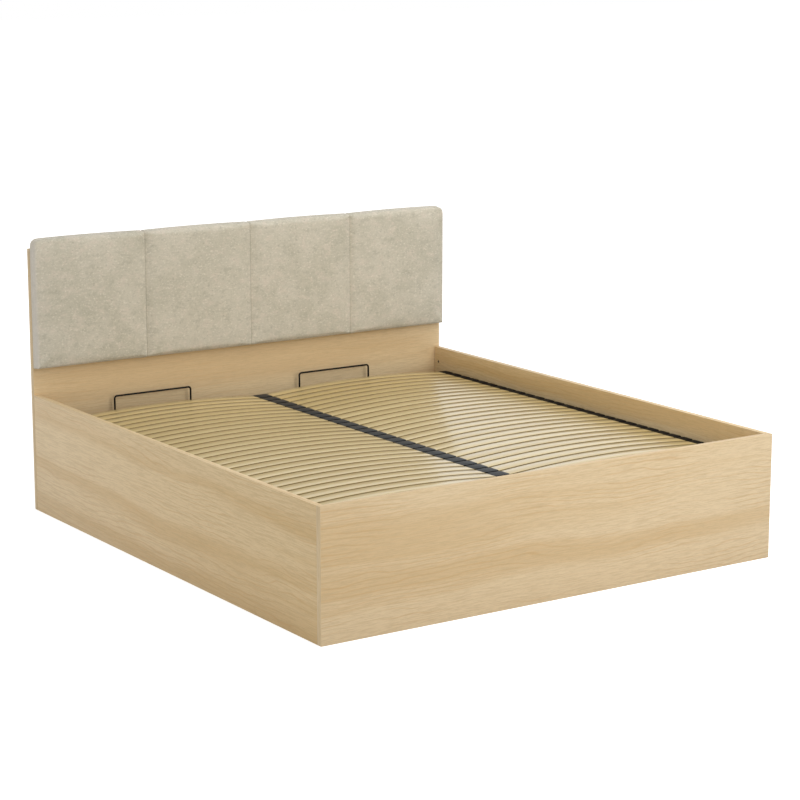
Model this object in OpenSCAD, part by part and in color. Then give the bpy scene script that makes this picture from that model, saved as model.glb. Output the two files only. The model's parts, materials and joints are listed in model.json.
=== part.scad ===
// Ottoman bed: a wooden box with a padded headboard, and a slatted base
// that tips up on two hinges and two gas struts to open the storage space.
// Millimetres. Origin: centre of the bed on the floor. +Y runs from the foot
// panel to the headboard, +X is the right side seen from the foot, +Z is up.

/* [Mattress] */
// Width of the mattress that the bed takes
mattress_w = 1800; // [1350:50:2000]
// Length of the mattress that the bed takes
mattress_l = 2000; // [1900:10:2200]
// Space between the mattress and each side panel
side_gap = 3; // [2:0.5:10]
// Space between the mattress and the panel at each end
end_gap = 6.5; // [5:0.5:15]

/* [Panels] */
// Thickness of the foot and side panels
panel_t = 22; // [22:1:30]
// Height of the box from the floor to its rim
box_h = 445; // [430:5:520]
// Thickness of the headboard panel
headboard_t = 22; // [20:1:30]
// Height of the headboard panel from the floor
headboard_h = 998; // [950:2:1200]

/* [Headboard cushion] */
// Height of the lower edge of the cushion above the floor
cushion_bottom = 545; // [530:5:600]
// How far the cushion stands above the headboard panel
cushion_rise = 42; // [20:1:80]
// Number of sections sewn side by side
cushion_n = 4; // [2:1:6]
// Thickness of the board behind the cushion
backing_t = 12; // [9:1:18]
// How far the edge of the backing board stays inside the cushion
backing_inset = 6; // [3:1:12]
// Thickness of the cushion beside its seams
cushion_t = 26; // [22:1:40]
// Extra thickness in the middle of a section
cushion_crown = 4; // [1:0.5:8]
// Radius of the rounded front edges
cushion_edge_r = 12; // [6:1:16]
// Radius of the upper corners seen from the front
cushion_top_r = 15; // [13:1:30]
// Radius of the lower corners seen from the front
cushion_bottom_r = 6; // [4:1:12]
// How far the top edge dips towards the seams
cushion_notch = 4; // [0:0.5:6]
// Depth of the sewn channel at a seam
seam_depth = 5; // [2:0.5:7]
// Half width of the sewn channel at a seam
seam_w = 4; // [3:0.5:8]
// Gap between the cushion and the board behind it
cushion_gap = 0.3; // [0.2:0.1:1]

/* [Slatted base] */
// Drop from the rim of the box to the tops of the slat caps
base_drop = 87; // [70:1:110]
// Gap between the slat caps and each side panel
base_side_gap = 5.5; // [4.5:0.5:12]
// Gap between the frame and the foot panel
base_foot_gap = 12; // [8:1:20]
// Gap between the frame and the headboard
base_head_gap = 11; // [10:1:20]
// Width and height of the square steel tube
tube_w = 30; // [30:1:40]
// Wall of the steel tube
tube_wall = 2; // [1.5:0.5:3]
// Width of the centre rail
centre_rail_w = 50; // [40:1:60]
// How far the side rails lie inside the outer caps
rail_inset = 12.5; // [12:0.5:14]
// Number of cross rails in each half of the frame
cross_rails = 3; // [2:1:4]
// Depth of an end plug inside its tube
plug_depth = 12; // [8:1:20]
// Thickness of the flange of an end plug
plug_flange = 2.5; // [1.5:0.5:4]

/* [Slats] */
// Width of a slat
slat_w = 53; // [45:1:68]
// Gap between two slats
slat_gap = 9.8; // [8:0.2:20]
// Thickness of a slat
slat_t = 8; // [6:0.5:9]
// Height of the bow in the middle of a slat
slat_bow = 21; // [8:1:24]
// Space between the foot end of the frame and the first slat
slat_foot_space = 35; // [34:1:60]
// Least space between the last slat and the head end of the frame
slat_head_space = 70; // [60:1:90]
// Height of a slat cap above the frame
cap_h = 18; // [17:0.5:22]
// Width across the slats of an outer cap
outer_cap_w = 42.5; // [40:0.5:48]
// Width across the slats of a centre cap
centre_cap_w = 64; // [62:1:72]
// Wall of a cap beside and behind its slat
cap_wall = 2; // [1.5:0.5:4]
// Thickness of the floor of a cap under the end of its slat
cap_floor = 6; // [5:0.5:7]
// Play between a slat and its cap
cap_play = 0.3; // [0.2:0.1:0.5]
// Radius of the peg under a cap
peg_r = 4; // [3:0.5:5]
// Length of the peg under a cap
peg_l = 9; // [6:1:14]

/* [Mattress retainers] */
// Radius of the bent rod
rod_r = 3.5; // [3:0.5:5]
// Width of a retainer over its legs
retainer_w = 337; // [250:1:400]
// Height of a retainer above the frame
retainer_h = 72; // [50:1:78]
// Radius of the bends at the middle of the rod
retainer_bend_r = 10; // [8:1:30]
// Distance from the middle of the bed to the middle of the left retainer
retainer_left_x = 435; // [300:1:450]
// Distance from the middle of the bed to the middle of the right retainer
retainer_right_x = 392; // [300:1:450]
// Length of the legs below the frame
retainer_tail = 12; // [10:1:20]
// Distance from the rod's middle line to the head end of the frame
retainer_inset = 10.5; // [9:0.5:15]

/* [Hinges] */
// Distance from the headboard to the hinge pins
pivot_from_head = 330; // [325:1:400]
// Thickness of a hinge plate
plate_t = 4; // [3:0.5:4]
// Width of a hinge plate
plate_w = 120; // [110:5:160]
// How far a hinge plate reaches beyond its pins
plate_end = 22; // [18:1:24]
// Corner radius of a hinge plate
plate_r = 12; // [6:1:20]
// Radius of a hinge pin
pin_r = 6; // [5:0.5:7]
// Radius of the collar on a hinge pin
pin_collar_r = 11; // [9:1:13]
// Wall of the bush between pin and rail
bush_wall = 2; // [1.5:0.5:3]
// Thickness of the flange of a bush
bush_flange = 1.5; // [1:0.5:2]
// Running clearance between pin and bush
run_gap = 0.05; // [0.02:0.01:0.08]
// Height of a hinge nut
nut_h = 8; // [6:1:10]
// Size of a hinge nut across its corners
nut_d = 22; // [20:1:26]

/* [Gas struts] */
// Distance along the bed from a hinge pin to its strut's upper stud
upper_stud_y = 276; // [270:1:282]
// Drop from the hinge pin to the upper stud
upper_stud_drop = 30; // [29:0.5:32]
// Distance along the bed from a hinge pin to its strut's lower stud
lower_stud_y = 72; // [68:1:76]
// Height of the lower stud above the storage floor
lower_stud_rise = 38; // [36:1:42]
// Radius of the strut's tube
strut_r = 11; // [10:0.5:11]
// Wall of the strut's tube
strut_wall = 1.5; // [1:0.5:2]
// Bare length from the strut's tube to its upper stud when the base is closed
strut_bare = 79; // [75:1:84]
// Radius of the strut's rod
strut_rod_r = 5; // [4:0.5:5]
// Clearance round the rod where the open linkage shifts it a little
strut_play = 1.1; // [1.1:0.1:1.3]
// Radius of the strut's two eyes
eye_r = 9; // [8:0.5:10]
// Thickness of the strut's two eyes
eye_t = 14; // [12:1:16]
// Radius of the studs that carry the strut
stud_r = 4; // [3:0.5:5]
// Distance from the side panel to the middle plane of the strut
strut_inset = 21; // [20:0.5:22]

/* [Supports] */
// Width of the cleats that the closed base rests on
cleat_w = 40; // [36:1:42]
// Height of the cleats that the closed base rests on
cleat_h = 30; // [24:1:36]
// Distance from the side cleats to the struts' upper studs
cleat_stud_gap = 107; // [95:1:400]
// Height of the rubber buffers
buffer_h = 4; // [3:0.5:6]
// Radius of the rubber buffers
buffer_r = 10; // [7:1:10]
// Gap left between the buffers and the frame
buffer_gap = 0.2; // [0.1:0.1:0.3]
// Width of the bearers under the storage floor
bearer_w = 40; // [30:1:60]
// Height of the bearers under the storage floor
bearer_h = 28; // [15:1:32]
// Thickness of the storage floor
floor_t = 9; // [3:1:9]
// Gap round each storage floor board
floor_gap = 1; // [0.5:0.5:2]

/* [Joints of the box] */
// Radius of the bolts that hold the headboard
bolt_r = 3; // [2.5:0.5:4]
// Length of a bolt under its head
bolt_l = 54; // [50:1:64]
// Radius of a bolt's flat head
bolt_head_r = 8.5; // [7:0.5:10]
// Thickness of a bolt's flat head
bolt_head_t = 2; // [1.5:0.5:3]
// Radius of a barrel nut
barrel_r = 5; // [4.5:0.5:6]
// Length of a barrel nut
barrel_l = 15; // [12:1:15]
// Distance from the headboard to the barrel nuts
barrel_inset = 27; // [24:1:32]
// Height of the lowest bolts above the floor
bolt_low = 75; // [60:5:90]
// Distance from the rim of the box down to the highest bolts
bolt_drop = 60; // [50:5:80]
// Radius of the wooden dowels
dowel_r = 4; // [3:0.5:5]
// Length of the wooden dowels
dowel_l = 34; // [30:1:36]
// Depth of a dowel in the outer panel
dowel_depth = 12; // [8:1:14]
// Height between a dowel and the bolt nearest to the floor or to the rim
dowel_from_bolt = 75; // [60:5:80]
// Length of each leg of the foot brackets
bracket_leg = 55; // [45:1:60]
// Thickness of the foot brackets
bracket_t = 2.5; // [2:0.5:4]
// Height of the lower end of the foot brackets
bracket_z = 60; // [50:1:70]
// Gap between the foot brackets and the cleats above them
bracket_gap = 26; // [15:1:60]
// Radius of a wood screw's shank
screw_r = 2.2; // [1.8:0.1:2.5]
// Radius of a wood screw's head
screw_head_r = 4.5; // [4:0.1:5]
// Thickness of a wood screw's head
screw_head_t = 2.4; // [1.5:0.1:3]
// How deep a wood screw bites
screw_bite = 14; // [10:1:16]
// Clearance round a screw, bolt, peg or dowel in its hole
hole_gap = 0.05; // [0.03:0.01:0.1]

/* [Hidden] */
$fn = 48;
// Overlap of a cutting shape past the surface that it cuts
cut = 1;

// Box
inside_w = mattress_w + 2 * side_gap;
inside_l = mattress_l + 2 * end_gap;
bed_w = inside_w + 2 * panel_t;
bed_l = panel_t + inside_l + headboard_t;
back_y = bed_l / 2;
board_y = back_y - headboard_t;
foot_y = -back_y;
foot_in_y = foot_y + panel_t;
side_in_x = inside_w / 2;
side_mid_x = side_in_x + panel_t / 2;
mid_y = (board_y + foot_in_y) / 2;

// Cushion
section_w = bed_w / cushion_n;
cushion_top = headboard_h + cushion_rise;
cushion_h = cushion_top - cushion_bottom;
backing_y = board_y - backing_t;
backing_bottom = cushion_bottom + backing_inset;
backing_top = cushion_top - backing_inset;
end_steps = 5;
section_steps = 6;
face_steps = 6;
arc_steps = 4;

// Slatted base
cap_top = box_h - base_drop;
frame_top = cap_top - cap_h;
frame_z = frame_top - tube_w;
frame_foot_y = foot_in_y + base_foot_gap;
frame_head_y = board_y - base_head_gap;
frame_l = frame_head_y - frame_foot_y;
cap_out_x = side_in_x - base_side_gap;
rail_out_x = cap_out_x - rail_inset;
rail_in_x = rail_out_x - tube_w;
rail_l = frame_l - 2 * tube_w;
rail_foot_y = frame_foot_y + tube_w;

// Slats
slat_pitch = slat_w + slat_gap;
slat_room = frame_l - slat_foot_space - slat_head_space;
slat_n = floor((slat_room + slat_gap) / slat_pitch);
slat_end_z = frame_top + cap_floor + cap_play;
slat_in_x = cap_wall + cap_play;
slat_out_x = cap_out_x - cap_wall - cap_play;
slat_mid_x = (slat_in_x + slat_out_x) / 2;
slat_half = (slat_out_x - slat_in_x) / 2;
slat_r = (slat_half * slat_half + slat_bow * slat_bow) / (2 * slat_bow);
slat_centre_z = slat_end_z + slat_bow - slat_r;
slat_step = 55;

// Hinges
pivot_y = board_y - pivot_from_head;
pivot_z = frame_z + tube_w / 2;
plate_x = side_in_x - plate_t;
bush_r = pin_r + run_gap + bush_wall;
collar_x = rail_out_x + bush_flange + buffer_gap;
nut_x = rail_in_x - buffer_gap - nut_h;

// Struts
floor_top = bearer_h + floor_t;
upper_y = pivot_y - upper_stud_y;
upper_z = pivot_z - upper_stud_drop;
lower_y = pivot_y - lower_stud_y;
lower_z = floor_top + lower_stud_rise;
strut_x = side_in_x - strut_inset;
strut_l = norm([upper_y - lower_y, upper_z - lower_z]);
strut_lean = atan2(lower_y - upper_y, upper_z - lower_z);
strut_base = 16;
strut_tube_l = strut_l - strut_base - strut_bare;
tube_floor = 5;
guide_t = 12;
piston_t = 12;
piston_gap = 6;
piston_r = strut_r - strut_wall - strut_play;
rod_start = strut_base + tube_floor + piston_gap;
rod_socket = 22;
socket_r = 7;
rod_bite = 12;
stud_collar_r = 7;
stud_head_t = 2;
side_play = 0.5;

// Supports
cleat_top = frame_z - buffer_h;
cleat_z = cleat_top - cleat_h;
cleat_l = upper_y - cleat_stud_gap - foot_in_y;
bearer_l = inside_l - 2 * floor_gap;

// Joints of the box
bolt_high = box_h - bolt_drop;
bolt_z = [bolt_low, (bolt_low + bolt_high) / 2, bolt_high];
dowel_z = [bolt_low + dowel_from_bolt, bolt_high - dowel_from_bolt];
bracket_h = cleat_z - bracket_gap - bracket_z;

// A rectangle with rounded corners, centred
module rounded(w, h, r) {
    square([w - 2 * r, h], center = true);
    square([w, h - 2 * r], center = true);
    for (x = [-1, 1], y = [-1, 1])
        translate([x * (w / 2 - r), y * (h / 2 - r)]) circle(r = r);
}

// A round bar or bore along X, from x0 to x1
module bar_x(x0, x1, y, z, r) {
    translate([min(x0, x1), y, z]) rotate([0, 90, 0]) cylinder(r = r, h = abs(x1 - x0));
}

// A round bar or bore along Y, from y0 to y1
module bar_y(x, y0, y1, z, r) {
    translate([x, max(y0, y1), z]) rotate([90, 0, 0]) cylinder(r = r, h = abs(y1 - y0));
}

// A round bar or bore along Z, from z0 to z1
module bar_z(x, y, z0, z1, r) {
    translate([x, y, min(z0, z1)]) cylinder(r = r, h = abs(z1 - z0));
}

// A block between two corners
module block(a, b) {
    translate(a) cube(b - a);
}

// Draws its children on the right side, or mirrored on the left
module on_side(side) {
    mirror([side < 0 ? 1 : 0, 0, 0]) children();
}

// Box

// The places of the wood screws in the foot brackets, along one leg
bracket_screw_at = bracket_leg * 0.62;
bracket_screw_z = [for (i = [0 : 2]) bracket_z + bracket_h * (0.15 + 0.35 * i)];

module foot_screw_holes() {
    for (side = [-1, 1], z = bracket_screw_z) {
        x = side * (side_in_x - bracket_screw_at);
        bar_y(x, foot_in_y - screw_bite, foot_in_y + cut, z, screw_r + hole_gap);
    }
    for (x = foot_cleat_screws)
        bar_y(x, foot_in_y - screw_bite, foot_in_y + cut, cleat_z + cleat_h / 2,
              screw_r + hole_gap);
}

module foot_panel() {
    color([0.83, 0.74, 0.60]) difference() {
        block([-bed_w / 2, foot_y, 0], [bed_w / 2, foot_in_y, box_h]);
        for (side = [-1, 1], z = dowel_z)
            bar_y(side * side_mid_x, foot_in_y - dowel_depth - hole_gap, foot_in_y + cut, z,
                  dowel_r + hole_gap);
        foot_screw_holes();
    }
}

module side_panel(side) {
    color([0.76, 0.67, 0.53]) on_side(side) difference() {
        block([side_in_x, foot_in_y, 0], [side_in_x + panel_t, board_y, box_h]);
        for (z = dowel_z) {
            grip = dowel_l - dowel_depth + hole_gap;
            bar_y(side_mid_x, foot_in_y - cut, foot_in_y + grip, z, dowel_r + hole_gap);
            bar_y(side_mid_x, board_y - grip, board_y + cut, z, dowel_r + hole_gap);
        }
        for (z = bolt_z) {
            bar_y(side_mid_x, board_y + headboard_t - bolt_head_t - bolt_l - cut,
                  board_y + cut, z, bolt_r + hole_gap);
            bar_x(side_in_x - cut, side_in_x + barrel_l + 2 * hole_gap,
                  board_y - barrel_inset, z, barrel_r + hole_gap);
        }
        for (z = bracket_screw_z)
            bar_x(side_in_x - cut, side_in_x + screw_bite, foot_in_y + bracket_screw_at, z,
                  screw_r + hole_gap);
        for (y = side_cleat_screws)
            bar_x(side_in_x - cut, side_in_x + screw_bite, y, cleat_z + cleat_h / 2,
                  screw_r + hole_gap);
        for (p = plate_screws)
            bar_x(side_in_x - cut, side_in_x + screw_bite, p[0], p[1], screw_r + hole_gap);
    }
}

// The screws that hold the cushions: across the bed, and heights
cushion_screw_x = [
    for (i = [0 : cushion_n - 1], s = [-1, 1])
        (i + 0.5) * section_w - bed_w / 2 + s * section_w * 0.3
];
cushion_screw_z = [cushion_bottom + cushion_h * 0.2, cushion_bottom + cushion_h * 0.75];
cushion_screw_tip = board_y - backing_t + 2;
head_play = 0.4;

module headboard_panel() {
    color([0.75, 0.66, 0.50]) difference() {
        block([-bed_w / 2, board_y, 0], [bed_w / 2, back_y, headboard_h]);
        for (side = [-1, 1], z = dowel_z)
            bar_y(side * side_mid_x, board_y - cut, board_y + dowel_depth + hole_gap, z,
                  dowel_r + hole_gap);
        for (side = [-1, 1], z = bolt_z) {
            bar_y(side * side_mid_x, board_y - cut, back_y + cut, z, bolt_r + hole_gap);
            bar_y(side * side_mid_x, back_y - bolt_head_t, back_y + cut, z,
                  bolt_head_r + head_play);
        }
        for (x = cushion_screw_x, z = cushion_screw_z) {
            bar_y(x, board_y - cut, back_y + cut, z, screw_r + hole_gap);
            bar_y(x, back_y - screw_head_t - head_play, back_y + cut, z,
                  screw_head_r + head_play);
        }
    }
}

module head_bolts() {
    color([0.70, 0.70, 0.70])
    for (side = [-1, 1], z = bolt_z) {
        head_y = back_y - bolt_head_t;
        bar_y(side * side_mid_x, head_y - bolt_l, head_y, z, bolt_r);
        difference() {
            bar_y(side * side_mid_x, head_y, back_y, z, bolt_head_r);
            translate([side * side_mid_x, back_y + cut, z]) rotate([90, 0, 0])
                cylinder(d = 5, h = cut + 1.2, $fn = 6);
        }
    }
}

module head_barrel_nuts() {
    color([0.22, 0.20, 0.18])
    for (side = [-1, 1], z = bolt_z) on_side(side) difference() {
        bar_x(side_in_x + hole_gap, side_in_x + hole_gap + barrel_l, board_y - barrel_inset,
              z, barrel_r);
        bar_y(side_mid_x, board_y - barrel_inset - barrel_r - cut,
              board_y - barrel_inset + barrel_r + cut, z, bolt_r + hole_gap);
    }
}

module corner_dowels() {
    color([0.86, 0.75, 0.56])
    for (side = [-1, 1], z = dowel_z) {
        bar_y(side * side_mid_x, foot_in_y - dowel_depth, foot_in_y - dowel_depth + dowel_l,
              z, dowel_r);
        bar_y(side * side_mid_x, board_y + dowel_depth, board_y + dowel_depth - dowel_l,
              z, dowel_r);
    }
}

module foot_bracket(side) {
    color([0.62, 0.62, 0.62]) on_side(side) difference() {
        union() {
            block([side_in_x - bracket_t, foot_in_y, bracket_z],
                  [side_in_x, foot_in_y + bracket_leg, bracket_z + bracket_h]);
            block([side_in_x - bracket_leg, foot_in_y, bracket_z],
                  [side_in_x, foot_in_y + bracket_t, bracket_z + bracket_h]);
        }
        for (z = bracket_screw_z) {
            bar_x(side_in_x - bracket_t - cut, side_in_x + cut,
                  foot_in_y + bracket_screw_at, z, screw_r + hole_gap);
            bar_y(side_in_x - bracket_screw_at, foot_in_y - cut, foot_in_y + bracket_t + cut,
                  z, screw_r + hole_gap);
        }
    }
}

// A wood screw along Y: head towards the bed's middle, tip towards the foot
module screw_to_foot(x, face_y, z, grip) {
    bar_y(x, face_y - grip - screw_bite + cut, face_y, z, screw_r);
    bar_y(x, face_y, face_y + screw_head_t, z, screw_head_r);
}

// A wood screw along X on the right side: head inwards, tip in the side panel
module screw_to_side(face_x, y, z) {
    bar_x(face_x, side_in_x + screw_bite - cut, y, z, screw_r);
    bar_x(face_x - screw_head_t, face_x, y, z, screw_head_r);
}

module foot_bracket_screws() {
    color([0.75, 0.72, 0.62])
    for (side = [-1, 1], z = bracket_screw_z) on_side(side) {
        screw_to_side(side_in_x - bracket_t, foot_in_y + bracket_screw_at, z);
        screw_to_foot(side_in_x - bracket_screw_at, foot_in_y + bracket_t, z, bracket_t);
    }
}

// Headboard cushion

module cushion_backing_board() {
    half = bed_w / 2 - backing_inset;
    color([0.66, 0.60, 0.54]) difference() {
        block([-half, backing_y, backing_bottom], [half, board_y, backing_top]);
        for (x = cushion_screw_x, z = cushion_screw_z)
            bar_y(x, cushion_screw_tip - cut, board_y + cut, z, screw_r + hole_gap);
    }
}

module cushion_screws() {
    head_y = back_y - screw_head_t - head_play;
    color([0.72, 0.70, 0.64])
    for (x = cushion_screw_x, z = cushion_screw_z) {
        bar_y(x, cushion_screw_tip, head_y, z, screw_r);
        bar_y(x, head_y, head_y + screw_head_t, z, screw_head_r);
    }
}

// How far a rounding of radius r draws the outline in, t from the end
function end_inset(t, r) = t < r ? r - sqrt(r * r - pow(r - t, 2)) : 0;

// Place across its own section, -1 to 1
function section_u(x) =
    let(p = (x + bed_w / 2) / section_w) 2 * (p - min(cushion_n - 1, floor(p))) - 1;

// How far the nearest sewn channel draws the surface in
function seam_inset(x) =
    let(k = round((x + bed_w / 2) / section_w), o = abs(x + bed_w / 2 - k * section_w))
    k > 0 && k < cushion_n && o < seam_w ? seam_depth * (1 + cos(180 * o / seam_w)) / 2 : 0;

// The places along the cushion where its outline is drawn, from end to end
end_places = [for (i = [0 : end_steps]) cushion_top_r * (1 - cos(90 * i / end_steps))];
cushion_places = [
    each [for (t = end_places) t - bed_w / 2],
    for (k = [0 : cushion_n - 1]) each [
        for (i = [1 : section_steps - 1]) (k + i / section_steps) * section_w - bed_w / 2,
        if (k < cushion_n - 1) each [for (o = [-1, -0.5, 0, 0.5, 1])
            (k + 1) * section_w - bed_w / 2 + o * seam_w]
    ],
    each [for (i = [end_steps : -1 : 0]) bed_w / 2 - end_places[i]]
];

// An arc of the outline round a centre, as depth and height
function edge_arc(d, z, r, a) =
    [for (i = [0 : arc_steps]) let(t = a + 90 * i / arc_steps) [d + r * cos(t), z + r * sin(t)]];

// The cushion's section at x: depth in front of its back, and height
function cushion_loop(x) =
    let(t = bed_w / 2 - abs(x), u = section_u(x), seam = seam_inset(x),
        depth = cushion_t - end_inset(t, cushion_edge_r) - seam,
        crown = cushion_crown * (1 - u * u),
        top = cushion_h - end_inset(t, cushion_top_r) - seam / 2 - cushion_notch * u * u,
        low = end_inset(t, cushion_bottom_r) + seam / 3,
        r = min(cushion_edge_r, depth - 1),
        z0 = low + r, z1 = top - r)
    [
        [0, low], each edge_arc(depth - r, z0, r, -90),
        for (i = [1 : face_steps - 1]) let(v = 2 * i / face_steps - 1)
            [depth + crown * (1 - v * v), z0 + (z1 - z0) * i / face_steps],
        each edge_arc(depth - r, z1, r, 0), [0, top]
    ];

module headboard_cushion() {
    loops = [for (x = cushion_places) [for (p = cushion_loop(x)) [x, -p[0], p[1]]]];
    n = len(loops[0]);
    last = len(loops) - 1;
    walls = [
        for (k = [0 : last - 1], i = [0 : n - 1]) let(j = (i + 1) % n)
            each [[k * n + i, k * n + j, (k + 1) * n + j],
                  [k * n + i, (k + 1) * n + j, (k + 1) * n + i]]
    ];
    ends = [
        for (i = [1 : n - 2])
            each [[0, i + 1, i], [last * n, last * n + i, last * n + i + 1]]
    ];
    color([0.75, 0.72, 0.65]) translate([0, backing_y - cushion_gap, cushion_bottom])
        polyhedron([for (q = loops, p = q) p], concat(walls, ends));
}

// Supports

side_cleat_screws = [for (i = [0 : 3]) foot_in_y + cleat_w + (cleat_l - cleat_w) * (i + 0.5) / 4];
foot_cleat_screws = [for (i = [0 : 3]) inside_w * (i - 1.5) / 4.5];
side_buffers = [for (i = [0 : 2]) foot_in_y + cleat_w + (cleat_l - cleat_w) * (i + 0.3) / 2.8];
foot_buffers = [for (i = [-1 : 1]) i * inside_w / 3];
buffer_x = side_in_x - cleat_w + buffer_r + 1;
buffer_y = foot_in_y + cleat_w - buffer_r - 2;
countersink = screw_head_t + head_play;

module rest_cleat(side) {
    color([0.82, 0.72, 0.54]) on_side(side) difference() {
        block([side_in_x - cleat_w, foot_in_y, cleat_z],
              [side_in_x, foot_in_y + cleat_l, cleat_top]);
        for (y = side_cleat_screws) {
            bar_x(side_in_x - cleat_w - cut, side_in_x + cut, y, cleat_z + cleat_h / 2,
                  screw_r + hole_gap);
            bar_x(side_in_x - cleat_w - cut, side_in_x - cleat_w + countersink, y,
                  cleat_z + cleat_h / 2, screw_head_r + head_play);
        }
    }
}

module rest_cleat_foot() {
    half = side_in_x - cleat_w;
    color([0.82, 0.72, 0.54]) difference() {
        block([-half, foot_in_y, cleat_z], [half, foot_in_y + cleat_w, cleat_top]);
        for (x = foot_cleat_screws) {
            bar_y(x, foot_in_y - cut, foot_in_y + cleat_w + cut, cleat_z + cleat_h / 2,
                  screw_r + hole_gap);
            bar_y(x, foot_in_y + cleat_w - countersink, foot_in_y + cleat_w + cut,
                  cleat_z + cleat_h / 2, screw_head_r + head_play);
        }
    }
}

module rest_cleat_screws() {
    color([0.75, 0.72, 0.62]) {
        for (side = [-1, 1], y = side_cleat_screws) on_side(side)
            screw_to_side(side_in_x - cleat_w + countersink, y, cleat_z + cleat_h / 2);
        for (x = foot_cleat_screws)
            screw_to_foot(x, foot_in_y + cleat_w - countersink, cleat_z + cleat_h / 2,
                          cleat_w - countersink);
    }
}

module rest_buffers() {
    top = frame_z - buffer_gap;
    color([0.10, 0.10, 0.10]) {
        for (side = [-1, 1], y = side_buffers) on_side(side)
            bar_z(buffer_x, y, cleat_top, top, buffer_r);
        for (x = foot_buffers) bar_z(x, buffer_y, cleat_top, top, buffer_r);
    }
}

module floor_bearer(x) {
    color([0.82, 0.72, 0.54])
        block([x - bearer_w / 2, mid_y - bearer_l / 2, 0],
              [x + bearer_w / 2, mid_y + bearer_l / 2, bearer_h]);
}

// One of four floor boards: side -1 or 1 across, ends from y0 to y1
module storage_floor(side, y0, y1) {
    color([0.70, 0.64, 0.56]) on_side(side)
        block([floor_gap / 2, y0, bearer_h], [side_in_x - floor_gap, y1, floor_top]);
}

// Hinges

plate_low = lower_z - plate_end;
plate_high = pivot_z + plate_end;
plate_mid_y = (pivot_y + lower_y) / 2;
plate_screw_edge = 12;
plate_screw_shift = 26;
plate_screws = [
    for (s = [-1, 1], z = [lower_z + plate_screw_shift, (plate_low + plate_high) / 2,
                           pivot_z - plate_screw_shift])
        [plate_mid_y + s * (plate_w / 2 - plate_screw_edge), z]
];

module hinge_plate(side) {
    color([0.16, 0.16, 0.16]) on_side(side) difference() {
        translate([plate_x, plate_mid_y, (plate_low + plate_high) / 2]) rotate([90, 0, 90])
            linear_extrude(plate_t) rounded(plate_w, plate_high - plate_low, plate_r);
        bar_x(plate_x - cut, side_in_x + cut, pivot_y, pivot_z, pin_r + hole_gap);
        bar_x(plate_x - cut, side_in_x + cut, lower_y, lower_z, stud_r + hole_gap);
        for (p = plate_screws)
            bar_x(plate_x - cut, side_in_x + cut, p[0], p[1], screw_r + hole_gap);
    }
}

module hinge_plate_screws() {
    color([0.30, 0.30, 0.30])
    for (side = [-1, 1], p = plate_screws) on_side(side) screw_to_side(plate_x, p[0], p[1]);
}

module hinge_pin(side) {
    color([0.72, 0.72, 0.72]) on_side(side) {
        bar_x(nut_x - 2, side_in_x, pivot_y, pivot_z, pin_r);
        bar_x(collar_x, plate_x, pivot_y, pivot_z, pin_collar_r);
    }
}

module hinge_nuts() {
    color([0.72, 0.72, 0.72])
    for (side = [-1, 1]) on_side(side) difference() {
        translate([nut_x, pivot_y, pivot_z]) rotate([0, 90, 0]) cylinder(d = nut_d, h = nut_h, $fn = 6);
        bar_x(nut_x - cut, nut_x + nut_h + cut, pivot_y, pivot_z, pin_r + hole_gap);
    }
}

module hinge_bushes() {
    color([0.85, 0.83, 0.76])
    for (side = [-1, 1]) on_side(side) difference() {
        union() {
            bar_x(rail_in_x, rail_out_x + bush_flange, pivot_y, pivot_z, bush_r);
            bar_x(rail_out_x, rail_out_x + bush_flange, pivot_y, pivot_z, pin_collar_r);
        }
        bar_x(rail_in_x - cut, rail_out_x + bush_flange + cut, pivot_y, pivot_z,
              pin_r + run_gap);
    }
}

module lower_strut_studs() {
    color([0.72, 0.72, 0.72])
    for (side = [-1, 1]) on_side(side) {
        eye_in = strut_x - eye_t / 2 - side_play;
        bar_x(eye_in - stud_head_t, side_in_x, lower_y, lower_z, stud_r);
        bar_x(strut_x + eye_t / 2 + side_play, plate_x, lower_y, lower_z, stud_collar_r);
        bar_x(eye_in - stud_head_t, eye_in, lower_y, lower_z, stud_collar_r);
    }
}

// Steel frame

// A square tube along Y
module tube_y(x0, x1, y0, y1) {
    difference() {
        block([x0, y0, frame_z], [x1, y1, frame_top]);
        block([x0 + tube_wall, y0 - cut, frame_z + tube_wall],
              [x1 - tube_wall, y1 + cut, frame_top - tube_wall]);
    }
}

// A square tube along X
module tube_x(x0, x1, y0, y1) {
    difference() {
        block([x0, y0, frame_z], [x1, y1, frame_top]);
        block([x0 - cut, y0 + tube_wall, frame_z + tube_wall],
              [x1 + cut, y1 - tube_wall, frame_top - tube_wall]);
    }
}

slat_y = [for (i = [0 : slat_n - 1]) frame_foot_y + slat_foot_space + slat_w / 2 + i * slat_pitch];
peg_x = (rail_in_x + rail_out_x) / 2;
centre_peg_x = centre_rail_w / 4;

module frame_side_rail(side) {
    color([0.14, 0.14, 0.14]) on_side(side) difference() {
        tube_y(rail_in_x, rail_out_x, rail_foot_y, rail_foot_y + rail_l);
        bar_x(rail_in_x - cut, rail_out_x + cut, pivot_y, pivot_z, bush_r + hole_gap);
        for (y = slat_y)
            bar_z(peg_x, y, frame_top - tube_wall - cut, frame_top + cut, peg_r + hole_gap);
    }
}

module frame_foot_rail() {
    color([0.14, 0.14, 0.14])
        tube_x(-rail_out_x, rail_out_x, frame_foot_y, frame_foot_y + tube_w);
}

leg_x = retainer_w / 2 - rod_r;
retainer_y = frame_head_y - retainer_inset;

function retainer_x(side) = side < 0 ? -retainer_left_x : retainer_right_x;

module frame_head_rail() {
    color([0.14, 0.14, 0.14]) difference() {
        tube_x(-rail_out_x, rail_out_x, frame_head_y - tube_w, frame_head_y);
        for (side = [-1, 1], s = [-1, 1])
            bar_z(retainer_x(side) + s * leg_x, retainer_y, frame_z - cut, frame_top + cut,
                  rod_r + hole_gap);
    }
}

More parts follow.
